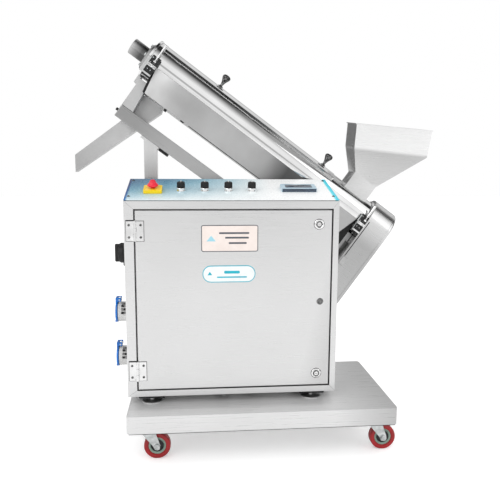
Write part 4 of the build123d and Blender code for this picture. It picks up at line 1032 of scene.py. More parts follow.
# ------------------------------------------------------------------ trolley
@dataclass
class Trolley:
    """Deck on four swivel casters, with the cabinet's rubber mounts."""

    wheel_radius: float = 37.49 * MM
    wheel_width: float = 24.0 * MM
    hub_radius: float = 24.5 * MM
    corners: tuple[str, ...] = ("fl", "fr", "rl", "rr")

    def build(self) -> None:
        """Build the deck, casters and mounts."""
        soften("base_deck", Dressing(DECK_SHEET, "machine", "satin_stainless", edge_mm=1.0))
        self.mounts()
        soften("caster_plates", Dressing(ZINC, "machine", "zinc_steel", edge_mm=0.8))
        for corner in self.corners:
            self.caster(corner)

    def mounts(self) -> None:
        """Build each foot from a rubber pad on a stem, keep the seals and line the deck's edge.

        The strip under the deck's front edge is a guess that draws a dark line.
        """
        deck_top = corners("base_deck")[1][2]
        pads, stems = [], []
        for low, high in loose_parts("rubber_mounts"):
            size, middle = high - low, (low + high) / 2
            if abs(low[2] - deck_top) > 1.0 * MM or size[0] > 0.1:
                continue
            place = Placement(np.array([middle[0], middle[1], low[2]]))
            height = size[2]
            pad = cushion_block(size[0], 40 * MM, height - 9.5 * MM, height, 3 * MM, 1.2 * MM)
            pads.append(place.moved(pad))
            wide = size[0] / 2 - 11 * MM
            stems.append(
                place.moved(
                    turned(
                        [
                            (0.0, 0.0), (wide + 4 * MM, 0.0), (wide + 4 * MM, 2.4 * MM), (wide, 4.0 * MM),
                            (0.0, 4.0 * MM),
                        ],
                        40,
                    )
                )
            )
            stems.append(
                place.moved(
                    turned(
                        [
                            (0.0, 3.8 * MM), (8 * MM, 3.8 * MM), (8 * MM, height - 9 * MM),
                            (0.0, height - 9 * MM),
                        ],
                        32,
                    )
                )
            )
        soften(
            "rubber_mounts",
            Dressing(RUBBER, "machine", "black_rubber", edge_mm=0.5),
            "seals_and_buffer",
            lambda low, high: abs(low[2] - deck_top) > 1.0 * MM,
        )
        make_piece("foot_pads", pads, Dressing(RUBBER, "machine", "black_rubber"))
        make_piece("foot_stems", stems, Dressing(BRACKET_METAL, "machine", "black_rubber"))
        low, high = corners("base_deck")
        under = Placement(np.array([(low[0] + high[0]) / 2, low[1] + 3.5 * MM, low[2]]))
        strip = cushion_block(high[0] - low[0] - 12 * MM, 5 * MM, -1.8 * MM, 0.0, 1 * MM, 0.5 * MM)
        make_piece("deck_edge_strip", [under.moved(strip)], Dressing(RUBBER, "machine", "black_rubber"))

    def tread_profile(self) -> list[tuple[float, float]]:
        """Section of the tread: a crowned rim between two rounded shoulders down to the hub."""
        half, radius, hub = self.wheel_width / 2, self.wheel_radius, self.hub_radius
        shoulder = 4.0 * MM
        bend = np.linspace(0.0, math.pi / 2, 7)
        left = [(radius - shoulder * (1 - math.sin(b)), -half + shoulder * (1 - math.cos(b))) for b in bend]
        right = [(r, -z) for r, z in reversed(left)]
        inner_lip = hub + 2.0 * MM
        return [
            (hub, -half + 3 * MM), (inner_lip, -half + 0.6 * MM), *left, *right, (inner_lip, half - 0.6 * MM),
            (hub, half - 3 * MM), (hub, -half + 3 * MM),
        ]

    def caster(self, corner: str) -> None:
        """Build one caster's fork dressing, axle nuts and wheel.

        Args:
            corner: Which corner of the deck it is at.
        """
        fork_body, wheel_body = f"caster_swivel_{corner}", f"caster_roller_{corner}"
        soften(f"caster_fork_{corner}", Dressing(ZINC, fork_body, "zinc_steel", edge_mm=0.6))
        axle = np.array(joint_named(f"roll_{corner}")["pos_m"])
        spin = frame_about(axle, (0, 1, 0), (1, 0, 0))
        half = self.wheel_width / 2
        tread = turned(self.tread_profile(), 72)
        ring = self.hub_radius
        disc = [(ring, -half + 3.2 * MM), (ring - 3 * MM, -half + 2.2 * MM), (ring - 6 * MM, -half + 4 * MM)]
        disc += [
            (ring - 6 * MM, half - 4 * MM), (ring - 3 * MM, half - 2.2 * MM), (ring, half - 3.2 * MM), disc[0]
        ]
        core_r = ring - 6 * MM

        def webbed(turn: np.ndarray, height: np.ndarray) -> np.ndarray:
            """Draw the wall in between six webs."""
            return 1.0 - 0.03 * (0.5 + 0.5 * np.cos(6 * turn)) * (np.abs(height) > half - 6 * MM)

        core = [
            (5.1 * MM, -half + 1 * MM), (10 * MM, -half - 0.2 * MM), (11.5 * MM, -half + 2 * MM),
            (core_r, -half + 5.2 * MM),
        ]
        core += [
            (core_r, half - 5.2 * MM), (11.5 * MM, half - 2 * MM), (10 * MM, half + 0.2 * MM),
            (5.1 * MM, half - 1 * MM), core[0],
        ]
        node = f"caster_wheel_{corner}"
        make_piece(
            f"wheel_tread_{corner}",
            [spin.moved(tread)],
            Dressing(TREAD, wheel_body, "red_polyurethane", (node,)),
        )
        make_piece(
            f"wheel_ring_{corner}",
            [spin.moved(turned(disc, 64))],
            Dressing(HUB_RING, wheel_body, "red_polyurethane"),
        )
        make_piece(
            f"wheel_core_{corner}",
            [spin.moved(turned(core, 96, webbed))],
            Dressing(HUB_CORE, wheel_body, "red_polyurethane"),
        )
        reach = half + 5.0 * MM
        nuts = []
        for side in (-1, 1):
            seat = frame_about(axle + np.array([0, side * reach, 0]), (0, side, 0), (1, 0, 0))
            nuts.append(seat.moved(hexagon_head(13 * MM, 0.0, 2.4 * MM)))
            nuts.append(
                seat.moved(
                    turned(
                        in_mm([(0, 2.3), (3.2, 2.3), (3.0, 3.6), (2.2, 4.2), (0, 4.3)]),
                        24,
                    )
                )
            )
        make_piece(f"axle_nuts_{corner}", nuts, Dressing(ZINC, fork_body, "zinc_steel"))
        swivel = np.array(joint_named(f"swivel_{corner}")["pos_m"])
        race = frame_about(swivel, (0, 0, 1), (1, 0, 0))
        rings = [
            turned(
                in_mm([(14.2, -4), (22.6, -3.4), (23.4, -1.2), (22.2, 0.8), (14.2, 1.4), (14.2, -4)]),
                56,
            )
        ]
        make_piece(
            f"swivel_race_{corner}", [race.moved(r) for r in rings], Dressing(ZINC, fork_body, "zinc_steel")
        )


# ------------------------------------------------------------------ cabinet
@dataclass
class Cabinet:
    """Control cabinet: shell, door, hinges, locks, plates and the mitred frame's weld lines."""

    bead: float = 0.7 * MM
    screw_radius: float = 3.6 * MM
    plate_border: float = 2.2 * MM
    panel_fold: float = 726.2 * MM

    def build(self) -> None:
        """Build the cabinet's outer parts."""
        soften("cabinet_shell", Dressing(SHEET, "machine", "satin_stainless", edge_mm=0.8))
        soften("door_stop_frame", Dressing(SHEET, "machine", "satin_stainless", edge_mm=0.3))
        soften("door_panel", Dressing(SHEET_DOOR, "door", "satin_stainless", edge_mm=0.7))
        soften("door_gasket", Dressing(RUBBER, "machine", "black_rubber", edge_mm=0.3))
        soften("hinge_frame_leaves", Dressing(BRIGHT, "machine", "polished_stainless", edge_mm=0.5))
        soften("hinge_door_leaves", Dressing(BRIGHT, "door", "polished_stainless", edge_mm=0.5))
        self.screws("cabinet_screws", "machine")
        self.screws("door_screws", "door")
        self.welds()
        self.edge_seal_and_painted_fold_shadow()
        self.hinge_painted_shadow_rims()
        self.locks()
        self.plates()

    def screws(self, node: str, body: str) -> None:
        """Set a cross-head screw on every screw of a node.

        Args:
            node: Node with the plain screws.
            body: Body that they ride on.
        """
        shapes = []
        for low, high in loose_parts(node):
            size = high - low
            middle = (low + high) / 2
            if size[2] > 7.5 * MM:
                outward = np.array(joint_named("selector_turn_1")["axis"])
                seat = middle + outward * (2.0 * MM)
                place = frame_about(seat, outward, (1, 0, 0))
                shapes.append(place.moved(cross_head(4.5 * MM, 0.0, 4.2 * MM)))
                continue
            place = frame_about((middle[0], low[1] + 2.0 * MM, middle[2]), (0, -1, 0), (1, 0, 0.4))
            shapes.append(place.moved(cross_head(self.screw_radius, 0.0, 2.0 * MM)))
        make_piece(f"{node}_heads", shapes, Dressing(SCREW_STEEL, body, "zinc_steel", (node,)))

    def welds(self) -> None:
        """Lay dressed weld beads along the mitres of the frame round the door."""
        low, high = corners("cabinet_shell")
        door_low, door_high = corners("door_panel")
        front = low[1]
        top = high[2] - 53.0 * MM
        ends = [
            ((low[0], low[2]), (door_low[0], door_low[2])),
            ((high[0], low[2]), (door_high[0], door_low[2])),
            ((low[0], top), (door_low[0], door_high[2])),
            ((high[0], top), (door_high[0], door_high[2])),
        ]
        beads = []
        for (x0, z0), (x1, z1) in ends:
            t = np.linspace(0.06, 0.9, 22)
            wander = 0.12 * MM * np.sin(t * 60)
            path = np.stack(
                [x0 + (x1 - x0) * t + wander, np.full_like(t, front + 0.3 * MM), z0 + (z1 - z0) * t], axis=1
            )
            beads.append(tube_along(path, self.bead, 8))
        make_piece("frame_mitre_welds", beads, Dressing(BRACKET_METAL, "machine", "satin_stainless"))

    def edge_seal_and_painted_fold_shadow(self) -> None:
        """Clip a black seal on the opening's edge and lay a dark strip along the fold under the panel as a
        painted shadow line.
        """
        low, high = corners("door_panel")
        front = corners("cabinet_shell")[0][1]
        gap, lip, deep = 2.5 * MM, 2.1 * MM, 0.45 * MM
        bars = []
        for x0, x1, z0, z1 in (
            (low[0] - gap - lip, high[0] + gap + lip, high[2] + gap, high[2] + gap + lip),
            (low[0] - gap - lip, high[0] + gap + lip, low[2] - gap - lip, low[2] - gap),
            (low[0] - gap - lip, low[0] - gap, low[2] - gap, high[2] + gap),
            (high[0] + gap, high[0] + gap + lip, low[2] - gap, high[2] + gap),
        ):
            face = frame_about(((x0 + x1) / 2, front, (z0 + z1) / 2), (0, -1, 0), (1, 0, 0))
            bars.append(face.moved(cushion_block(x1 - x0, z1 - z0, -0.2 * MM, deep, 0.5 * MM, 0.2 * MM)))
        # Painted shadow: the black strip along the panel's fold draws the shadow line at the panel's lower
        # edge.
        low, high = corners("cabinet_shell")
        seam = frame_about(((low[0] + high[0]) / 2, front, self.panel_fold), (0, -1, 0), (1, 0, 0))
        bars.append(
            seam.moved(
                cushion_block(high[0] - low[0] - 6 * MM, 1.5 * MM, -0.2 * MM, 0.4 * MM, 0.4 * MM, 0.2 * MM)
            )
        )
        make_piece("opening_edge_seal_and_painted_fold_shadow", bars, Dressing(RUBBER, "machine", "black_rubber"))

    def hinge_painted_shadow_rims(self) -> None:
        """Lay a thin dark plate under each hinge leaf, a little larger, as a painted shadow line round its
        outline.
        """
        front = corners("cabinet_shell")[0][1]
        door_left = corners("door_panel")[0][0]
        for node, body, side in (("hinge_frame_leaves", "machine", -1), ("hinge_door_leaves", "door", 1)):
            painted_shadow_rims = []
            for low, high in loose_parts(node):
                if high[0] - low[0] < 12 * MM:
                    continue
                near = door_left + 0.6 * MM if side > 0 else high[0] - 6.5 * MM
                x0, x1 = (near, high[0] + 1.3 * MM) if side > 0 else (low[0] - 1.3 * MM, near)
                face = frame_about(((x0 + x1) / 2, front, (low[2] + high[2]) / 2), (0, -1, 0), (1, 0, 0))
                tall = high[2] - low[2] + 2.6 * MM
                painted_shadow_rims.append(face.moved(cushion_block(x1 - x0, tall, 0.0, 0.4 * MM, 0.8 * MM, 0.15 * MM)))
            make_piece(f"{node}_shims", painted_shadow_rims, Dressing(RUBBER, body, "polished_stainless"))

    def locks(self) -> None:
        """Turn the lock housings and their key barrels."""
        housings, seals = [], []
        for name in ("lower", "upper"):
            joint = joint_named(f"lock_turn_{name}")
            centre = np.array(joint["pos_m"])
            place = frame_about(centre, (0, -1, 0), (1, 0, 0))
            rim = in_mm([(8.1, -14), (11, -14), (11, -0.2), (14.4, -0.1), (14.5, 1.2)])
            rim += [
                (13.9 * MM, 2.6 * MM), (12.2 * MM, 3.7 * MM), (10.4 * MM, 3.9 * MM), (9.0 * MM, 3.1 * MM),
                (8.1 * MM, 1.4 * MM), rim[0],
            ]
            housings.append(place.moved(turned(rim, 56)))
            self.key_barrel(name, place)
            edge = in_mm([(14.4, -0.1), (15.4, -0.1), (15.2, 0.5), (14.4, 0.6), (14.4, -0.1)])
            inner = in_mm([(6.4, -1.0), (8.2, -1.0), (8.2, 1.9), (7.4, 2.3), (6.4, 1.9), (6.4, -1.0)])
            seals.extend([place.moved(turned(edge, 56)), place.moved(turned(inner, 48))])
        middle = (
            np.array(joint_named("lock_turn_lower")["pos_m"]) + joint_named("lock_turn_upper")["pos_m"]
        ) / 2
        plug = frame_about(middle + np.array([7 * MM, 0.0, -4 * MM]), (0, -1, 0), (1, 0, 0))
        cup = in_mm(
            [(0.0, 0.5), (4.6, 0.5), (5.2, 1.6), (7.2, 2.4), (9.0, 1.8), (9.8, 0.4), (9.8, -0.2), (0.0, -0.2)]
        )
        make_piece(
            "door_blanking_plug",
            [plug.moved(turned(cup, 48))],
            Dressing(SCREW_STEEL, "door", "polished_stainless"),
        )
        make_piece("lock_rims", housings, Dressing(BRIGHT, "door", "polished_stainless", ("lock_housings",)))
        make_piece("lock_seals", seals, Dressing(RUBBER, "door", "polished_stainless"))

    def key_barrel(self, name: str, place: Placement) -> None:
        """Build a lock's barrel face with its key slot, and keep the tongue behind it.

        The face is flat at 2.2 mm, sunk by 2.4 mm where |x| is under 4 mm and |y| under 0.9 mm.

        Args:
            name: Which lock.
            place: Frame of the lock, with Z outwards.
        """
        rings = np.linspace(0.0, 6.2 * MM, 26)
        angle = np.linspace(0.0, FULL_TURN, 64, endpoint=False)
        ring, turn = np.meshgrid(rings, angle, indexing="ij")
        x, y = ring * np.cos(turn), ring * np.sin(turn)
        slot = (np.abs(x) < 4.0 * MM) & (np.abs(y) < 0.9 * MM)
        height = 2.4 * MM - 1.8 * MM * slot - 0.5 * MM * (ring / rings[-1]) ** 6
        face = np.stack([x, y, height], axis=-1)
        skirt = np.stack([x[-1], y[-1], np.full(64, -1.0 * MM)], axis=-1)[None]
        base = skirt * np.array([0.0, 0.0, 1.0])
        shape = grid_surface(np.concatenate([face, skirt, base]), wrap_columns=True)
        make_piece(
            f"key_barrel_{name}",
            [place.moved(shape)],
            Dressing(SCREW_STEEL, f"lock_{name}", "polished_stainless"),
        )
        keep(f"lock_cam_{name}", BRIGHT)

    def plates(self) -> None:
        """Build the name plate and the oval badge with generic marks."""
        parts = sorted(loose_parts("door_plates"), key=lambda pair: -pair[1][2])
        (low, high), (badge_low, badge_high) = parts[0], parts[1]
        face = frame_about(((low[0] + high[0]) / 2, high[1], (low[2] + high[2]) / 2), (0, -1, 0), (1, 0, 0))
        width, height = high[0] - low[0], high[2] - low[2]
        border = self.plate_border
        make_piece(
            "name_plate_border",
            [face.moved(cushion_block(width, height, 0.0, 1.2 * MM, 6 * MM, 0.4 * MM))],
            Dressing(INK, "door", "plate_enamel", ("door_plates",)),
        )
        make_piece(
            "name_plate_face",
            [
                face.moved(
                    cushion_block(
                        width - 2 * border, height - 2 * border, 0.3 * MM, 1.5 * MM, 4 * MM, 0.3 * MM
                    )
                )
            ],
            Dressing(WHITE, "door", "plate_enamel"),
        )
        bars = [(-4, 15, 84), (4, 2, 66), (6, -13, 50)]
        shapes = []
        for dx, dz, length in bars:
            bar = cushion_block(length * MM, 5.0 * MM, 1.2 * MM, 1.62 * MM, 1.2 * MM, 0.1 * MM)
            shapes.append(face.offset((dx + 16) * MM, dz * MM).moved(bar))
        make_piece("name_plate_bars", shapes, Dressing(INK, "door", "plate_enamel"))
        peak = self.triangle(26 * MM, 16 * MM)
        make_piece(
            "name_plate_mark",
            [face.offset(-52 * MM, 0.0).moved(peak)],
            Dressing(PALE_INK, "door", "plate_enamel"),
        )
        centre = (badge_low + badge_high) / 2
        badge = frame_about((centre[0], badge_high[1], centre[2]), (0, -1, 0), (1, 0, 0))
        size = badge_high - badge_low
        oval = cushion_block(size[0], size[2], 0.0, 1.2 * MM, size[2] / 2 - 0.5 * MM, 0.4 * MM)
        make_piece("badge_border", [badge.moved(oval)], Dressing(CYAN, "door", "plate_enamel"))
        inner = cushion_block(
            size[0] - 4.6 * MM, size[2] - 4.6 * MM, 0.3 * MM, 1.5 * MM, size[2] / 2 - 3 * MM, 0.3 * MM
        )
        make_piece("badge_face", [badge.moved(inner)], Dressing(BADGE_WHITE, "door", "plate_enamel"))
        marks = [
            badge.offset(8 * MM, 5 * MM).moved(
                cushion_block(44 * MM, 8 * MM, 1.2 * MM, 1.62 * MM, 3 * MM, 0.1 * MM)
            )
        ]
        marks.append(
            badge.offset(8 * MM, -9 * MM).moved(
                cushion_block(84 * MM, 4 * MM, 1.2 * MM, 1.62 * MM, 1.5 * MM, 0.1 * MM)
            )
        )
        marks.append(badge.offset(-54 * MM, 2 * MM).moved(self.triangle(13 * MM, 10 * MM)))
        make_piece("badge_marks", marks, Dressing(CYAN, "door", "plate_enamel"))

    def triangle(self, width: float, height: float) -> Surface:
        """Flat generic peak: a triangle with rounded edges, drawn upright."""
        base = np.array([[-width / 2, -height / 2], [width / 2, -height / 2], [0.0, height / 2]])
        return stacked(
            lambda inset: base * (1 - inset / width),
            in_mm([(0.0, 1.2), (0.0, 1.55), (0.3, 1.62)]),
        )


# ------------------------------------------------------------------ control panel and left wall
@dataclass
class Controls:
    """Printed panel, stop button, selectors, display, main switch and sockets."""

    knob_radius: float = 12.0 * MM
    collar_radius: float = 13.0 * MM
    flutes: int = 24
    socket_radius: float = 29.0 * MM
    lid_radius: float = 31.0 * MM

    def panel_place(self) -> Placement:
        """Frame on the panel's printed face, below the first selector."""
        joint = joint_named("selector_turn_1")
        outward = np.array(joint["axis"])
        return frame_about(np.array(joint["pos_m"]) - outward * 8.0 * MM, outward, (1, 0, 0))

    def build(self) -> None:
        """Build everything on the panel and on the left wall."""
        low, high = corners("panel_plate")
        keep(
            "panel_plate",
            PrintedOverlay("polyester_overlay_screen_printed", low[0], high[0], high[1], low[1]),
        )
        self.selectors()
        self.stop_button()
        self.display()
        self.main_switch()
        for name in ("lower", "upper"):
            self.socket(name)
        self.gear()

    def selectors(self) -> None:
        """Turn the chrome collars and fluted black knobs, with their scales."""
        collars, ticks = [], []
        for number in range(1, 5):
            joint = joint_named(f"selector_turn_{number}")
            outward = np.array(joint["axis"])
            place = frame_about(np.array(joint["pos_m"]) - outward * 8.0 * MM, outward, (1, 0, 0))
            r = self.collar_radius
            ring = [
                (4.2 * MM, 0.0), (r, 0.0), (r, 1.2 * MM), (r - 0.5 * MM, 2.0 * MM), (r - 0.5 * MM, 7.6 * MM),
                (r - 1.4 * MM, 9.0 * MM), (4.2 * MM, 9.0 * MM), (4.2 * MM, 0.0),
            ]
            collars.append(place.moved(turned(ring, 48)))
            k = self.knob_radius

            def fluted(turn: np.ndarray, height: np.ndarray) -> np.ndarray:
                """Cut shallow flutes in the wall between the skirt and the crown."""
                wall = (height > 11 * MM) & (height < 23 * MM)
                return 1.0 - 0.05 * wall * np.maximum(0.0, np.cos(self.flutes * turn))

            cap = [
                (0.0, 9.6 * MM), (k - 0.6 * MM, 9.6 * MM), (k, 10.2 * MM), (k, 10.9 * MM),
                (k - 0.3 * MM, 11.4 * MM),
            ]
            cap += [
                (k - 0.4 * MM, 16 * MM), (k - 0.6 * MM, 22.4 * MM), (k - 1.4 * MM, 24 * MM),
                (k - 2.6 * MM, 24.4 * MM), (0.0, 24.6 * MM),
            ]
            body = f"selector_{number}"
            make_piece(
                f"selector_cap_{number}",
                [place.moved(turned(cap, 144, fluted))],
                Dressing(BLACK, body, "black_plastic", (f"selector_knob_{number}",)),
            )
            rib = cushion_block(2.2 * MM, 10 * MM, 24.2 * MM, 26.4 * MM, 1.0 * MM, 0.5 * MM)
            make_piece(
                f"selector_pointer_{number}",
                [place.offset(0.0, 5.6 * MM).moved(rib)],
                Dressing(GREY, body, "black_plastic"),
            )
            spread = np.radians(np.linspace(-135, 135, 11) if number == 4 else np.array([-45, 0, 45]))
            for angle in spread:
                spot = place.offset(18.0 * MM * math.sin(angle), 18.0 * MM * math.cos(angle))
                turn = Matrix.Rotation(-angle, 3, "Z")
                local = Placement(spot.origin, np.array(turn).T @ spot.axes)
                ticks.append(
                    local.moved(cushion_block(0.9 * MM, 3.2 * MM, -0.1 * MM, 0.14 * MM, 0.4 * MM, 0.05 * MM))
                )
        make_piece(
            "selector_collar_rings",
            collars,
            Dressing(BRIGHT, "machine", "polished_stainless", ("selector_collars",)),
        )
        make_piece("selector_scale_ticks", ticks, Dressing(INK, "machine", "panel_film"))

    def stop_button(self) -> None:
        """Build the yellow box and the red mushroom with its finger ridges."""
        soften("estop_housing", Dressing(YELLOW, "machine", "yellow_plastic", edge_mm=1.4))
        panel = self.panel_place()
        low, high = corners("estop_housing")
        shift = (low[0] + high[0]) / 2 - panel.origin[0]
        place = panel.offset(shift, -7.0 * MM, 10.0 * MM)
        rise = 4.4 * MM
        r = 16.0 * MM
        head = [
            (0.0, rise), (12.6 * MM, rise), (r - 0.6 * MM, rise + 1.6 * MM), (r, rise + 3.2 * MM),
            (r - 0.5 * MM, rise + 5.2 * MM),
        ]
        head += [
            (r - 3.2 * MM, rise + 7.6 * MM), (r - 6.0 * MM, rise + 10.6 * MM), (8.4 * MM, rise + 14.4 * MM),
            (7.2 * MM, rise + 17.2 * MM), (5.0 * MM, rise + 18.6 * MM), (0.0, rise + 19.0 * MM),
        ]

        def gripped(turn: np.ndarray, height: np.ndarray) -> np.ndarray:
            """Scallop the rim in twelve shallow finger grips."""
            rim = (height > rise + 1.0 * MM) & (height < rise + 6.5 * MM)
            return 1.0 - 0.03 * rim * (0.5 + 0.5 * np.cos(12 * turn))

        stem = [(0.0, -6 * MM), (5.9 * MM, -6 * MM), (5.9 * MM, rise + 0.4 * MM), (0.0, rise + 0.4 * MM)]
        shapes = [place.moved(turned(head, 96, gripped)), place.moved(turned(stem, 32))]
        make_piece("stop_mushroom", shapes, Dressing(RED, "stop_button", "red_plastic", ("estop_button",)))

    def display(self) -> None:
        """Build the display's case and its navy window and front."""
        panel = self.panel_place()
        low, high = corners("speed_display")
        shift = (low[0] + high[0]) / 2 - panel.origin[0]
        width = high[0] - low[0]
        place = panel.offset(shift, 6.5 * MM)
        case = cushion_block(width, 45 * MM, 0.0, 11.0 * MM, 2.4 * MM, 1.2 * MM)
        make_piece(
            "display_case",
            [place.moved(case)],
            Dressing(DISPLAY_CASE, "machine", "display_housing", ("speed_display",)),
        )
        window = cushion_block(width - 24 * MM, 27 * MM, 10.4 * MM, 11.0 * MM + 0.35 * MM, 2 * MM, 0.3 * MM)
        front = cushion_block(width - 3 * MM, 1.2 * MM, 1.0 * MM, 10.4 * MM, 0.4 * MM, 0.4 * MM)
        shapes = [place.moved(window), place.offset(0.0, -22.6 * MM).moved(front)]
        make_piece("display_window", shapes, Dressing(SCREEN_GLASS, "machine", "display_housing"))

    def main_switch(self) -> None:
        """Build the main switch: base, round skirt and a waisted grip."""
        soften("isolator_body", Dressing(BLACK, "machine", "black_plastic", edge_mm=1.5))
        joint = joint_named("isolator_turn")
        centre = np.array(joint["pos_m"])
        place = frame_about(
            (corners("isolator_body")[0][0] - 0.4 * MM, centre[1], centre[2]), (-1, 0, 0), (0, 0, 1)
        )
        r = 29.0 * MM
        skirt = [
            (0.0, 0.0), (r - 0.8 * MM, 0.0), (r, 1.0 * MM), (r, 9 * MM), (r - 3 * MM, 14.4 * MM),
            (r - 7 * MM, 15.6 * MM), (0.0, 15.6 * MM),
        ]

        def ribbed(turn: np.ndarray, height: np.ndarray) -> np.ndarray:
            """Press thirty small ribs into the skirt."""
            return 1.0 - 0.02 * ((height > 1.5 * MM) & (height < 9.5 * MM)) * (0.5 + 0.5 * np.cos(30 * turn))

        grip = cushion_block(52 * MM, 14.5 * MM, 14 * MM, 26.2 * MM, 6 * MM, 3 * MM)
        mark = cushion_block(11 * MM, 2.0 * MM, 26.0 * MM, 26.5 * MM, 0.8 * MM, 0.15 * MM)
        make_piece(
            "main_switch_handle",
            [place.moved(turned(skirt, 120, ribbed)), place.moved(grip)],
            Dressing(BLACK, "isolator_handle", "black_plastic", ("isolator_knob",)),
        )
        make_piece(
            "main_switch_mark",
            [place.offset(19 * MM).moved(mark)],
            Dressing(WHITE, "isolator_handle", "black_plastic"),
        )

    def socket(self, name: str) -> None:
        """Build one industrial socket: flange, ribbed barrel, contact face, lid and spring.

        Args:
            name: Which socket, lower or upper.
        """
        joint = joint_named(f"socket_lid_{name}_lift")
        pin = np.array(joint["pos_m"])
        wall = corners("socket_bodies")[1][0] - 20 * MM
        centre = np.array([wall, pin[1], pin[2] - 37.0 * MM])
        place = frame_about(centre, (-1, 0, 0), (0, 0, 1))
        flange = cushion_block(66 * MM, 66 * MM, 0.0, 4.0 * MM, 5 * MM, 0.9 * MM)
        r, bore = self.socket_radius, 21.0 * MM

        def finned(turn: np.ndarray, height: np.ndarray) -> np.ndarray:
            """Raise eighteen grip fins on the outside of the barrel."""
            outside = (height > 5 * MM) & (height < 25 * MM)
            return 1.0 - 0.035 * outside * (0.5 + 0.5 * np.cos(18 * turn))

        barrel = [
            (bore, 6.2 * MM), (bore, 28.8 * MM), (bore + 1 * MM, 29.8 * MM), (r - 1.2 * MM, 29.8 * MM),
            (r, 28.6 * MM),
        ]
        barrel += [
            (r, 25.4 * MM), (r - 0.2 * MM, 24 * MM), (r - 0.2 * MM, 6 * MM), (r + 1.5 * MM, 3.9 * MM),
            (0.0, 3.9 * MM), (0.0, 6.2 * MM), (bore, 6.2 * MM),
        ]
        shapes = [place.moved(flange), place.moved(turned(barrel, 108, finned))]
        lug = cushion_block(16 * MM, 15.6 * MM, 21.4 * MM, 29.8 * MM, 1.5 * MM, 0.8 * MM)
        shapes.append(place.offset(29 * MM).moved(lug))
        for angle in np.radians([90, 210, 330]):
            sleeve = in_mm([(2.6, 6.2), (2.6, 9.0), (4.0, 9.0), (4.4, 6.2), (2.6, 6.2)])
            shapes.append(
                place.offset(11 * MM * math.cos(angle), 11 * MM * math.sin(angle)).moved(turned(sleeve, 20))
            )
        nodes = ("socket_bodies",) if name == "lower" else ()
        make_piece(f"socket_housing_{name}", shapes, Dressing(GREY, "machine", "grey_plastic", nodes))
        heads = []
        for dx in (-27, 27):
            for dy in (-27, 27):
                heads.append(
                    place.offset(dx * MM, dy * MM, 4.0 * MM).moved(cross_head(3.2 * MM, -0.1 * MM, 1.6 * MM))
                )
        make_piece(f"socket_screws_{name}", heads, Dressing(ZINC, "machine", "zinc_steel"))
        clamps, hooks = [], []
        for angle, target in ((4.0, hooks), (24.0, clamps), (44.0, hooks), (62.0, clamps)):
            x, y = (r + 0.6 * MM) * math.sin(
                math.radians(angle)
            ), -(r + 0.6 * MM) * math.cos(math.radians(angle))
            target.append(
                place.offset(x, y).moved(
                    cushion_block(6.5 * MM, 5.6 * MM, 4.4 * MM, 11.5 * MM, 1.4 * MM, 1.0 * MM)
                )
            )
            other = clamps if target is hooks else hooks
            other.append(
                place.offset(x, y).moved(
                    cushion_block(6.5 * MM, 4.6 * MM, 12.2 * MM, 19.4 * MM, 1.4 * MM, 1.0 * MM)
                )
            )
        make_piece(f"socket_clamps_{name}", clamps, Dressing(BLACK, "machine", "grey_plastic"))
        make_piece(f"socket_hooks_{name}", hooks, Dressing(SCREW_STEEL, "machine", "zinc_steel"))
        self.socket_lid(name, place, pin)

    def socket_lid(self, name: str, place: Placement, pin: np.ndarray) -> None:
        """Build a lid: dished disc with a ring, hinge ears, thumb lip and a coil spring.

        Args:
            name: Which socket.
            place: Frame of the socket, with Z outwards and X up.
            pin: A point on the hinge pin.
        """
        r = self.lid_radius
        dish = [
            (0.0, 30.7 * MM), (r - 1.0 * MM, 30.7 * MM), (r, 31.4 * MM), (r, 34.0 * MM),
            (r - 1.2 * MM, 36.0 * MM),
        ]
        dish += [
            (r - 3.4 * MM, 36.6 * MM), (r - 5.2 * MM, 36.0 * MM), (r - 6.2 * MM, 34.8 * MM),
            (9 * MM, 34.8 * MM), (7 * MM, 35.8 * MM), (0.0, 35.8 * MM),
        ]
        shapes = [place.moved(turned(dish, 72))]
        bridge = cushion_block(26 * MM, 30 * MM, 30.7 * MM, 36.5 * MM, 3 * MM, 1.2 * MM)
        shapes.append(place.offset(30 * MM).moved(bridge))
        for side in (-1, 1):
            ear = cushion_block(11.3 * MM, 6.3 * MM, 20.7 * MM, 32.4 * MM, 2 * MM, 0.8 * MM)
            shapes.append(place.offset(37.2 * MM, side * 11.8 * MM).moved(ear))
        lip = cushion_block(6 * MM, 18 * MM, 35.4 * MM, 39.4 * MM, 2 * MM, 1.0 * MM)
        shapes.append(place.offset(-27 * MM).moved(lip))
        body = f"lid_{name}"
        make_piece(
            f"socket_cover_{name}", shapes, Dressing(BLUE, body, "blue_plastic", (f"socket_lid_{name}",))
        )
        turns, sweep = 5.0, np.linspace(0.0, 1.0, 150)
        coil = np.stack(
            [
                pin[0] + 4.9 * MM * np.cos(FULL_TURN * turns * sweep),
                pin[1] - 6.0 * MM + 12.0 * MM * sweep,
                pin[2] + 4.9 * MM * np.sin(FULL_TURN * turns * sweep),
            ],
            axis=1,
        )
        rod = np.stack(
            [np.full(8, pin[0]), pin[1] + np.linspace(-15.4, 15.4, 8) * MM, np.full(8, pin[2])], axis=1
        )
        make_piece(
            f"lid_spring_{name}",
            [tube_along(coil, 0.6 * MM, 6), tube_along(rod, 2.4 * MM, 20)],
            Dressing(ZINC, body, "blue_plastic"),
        )

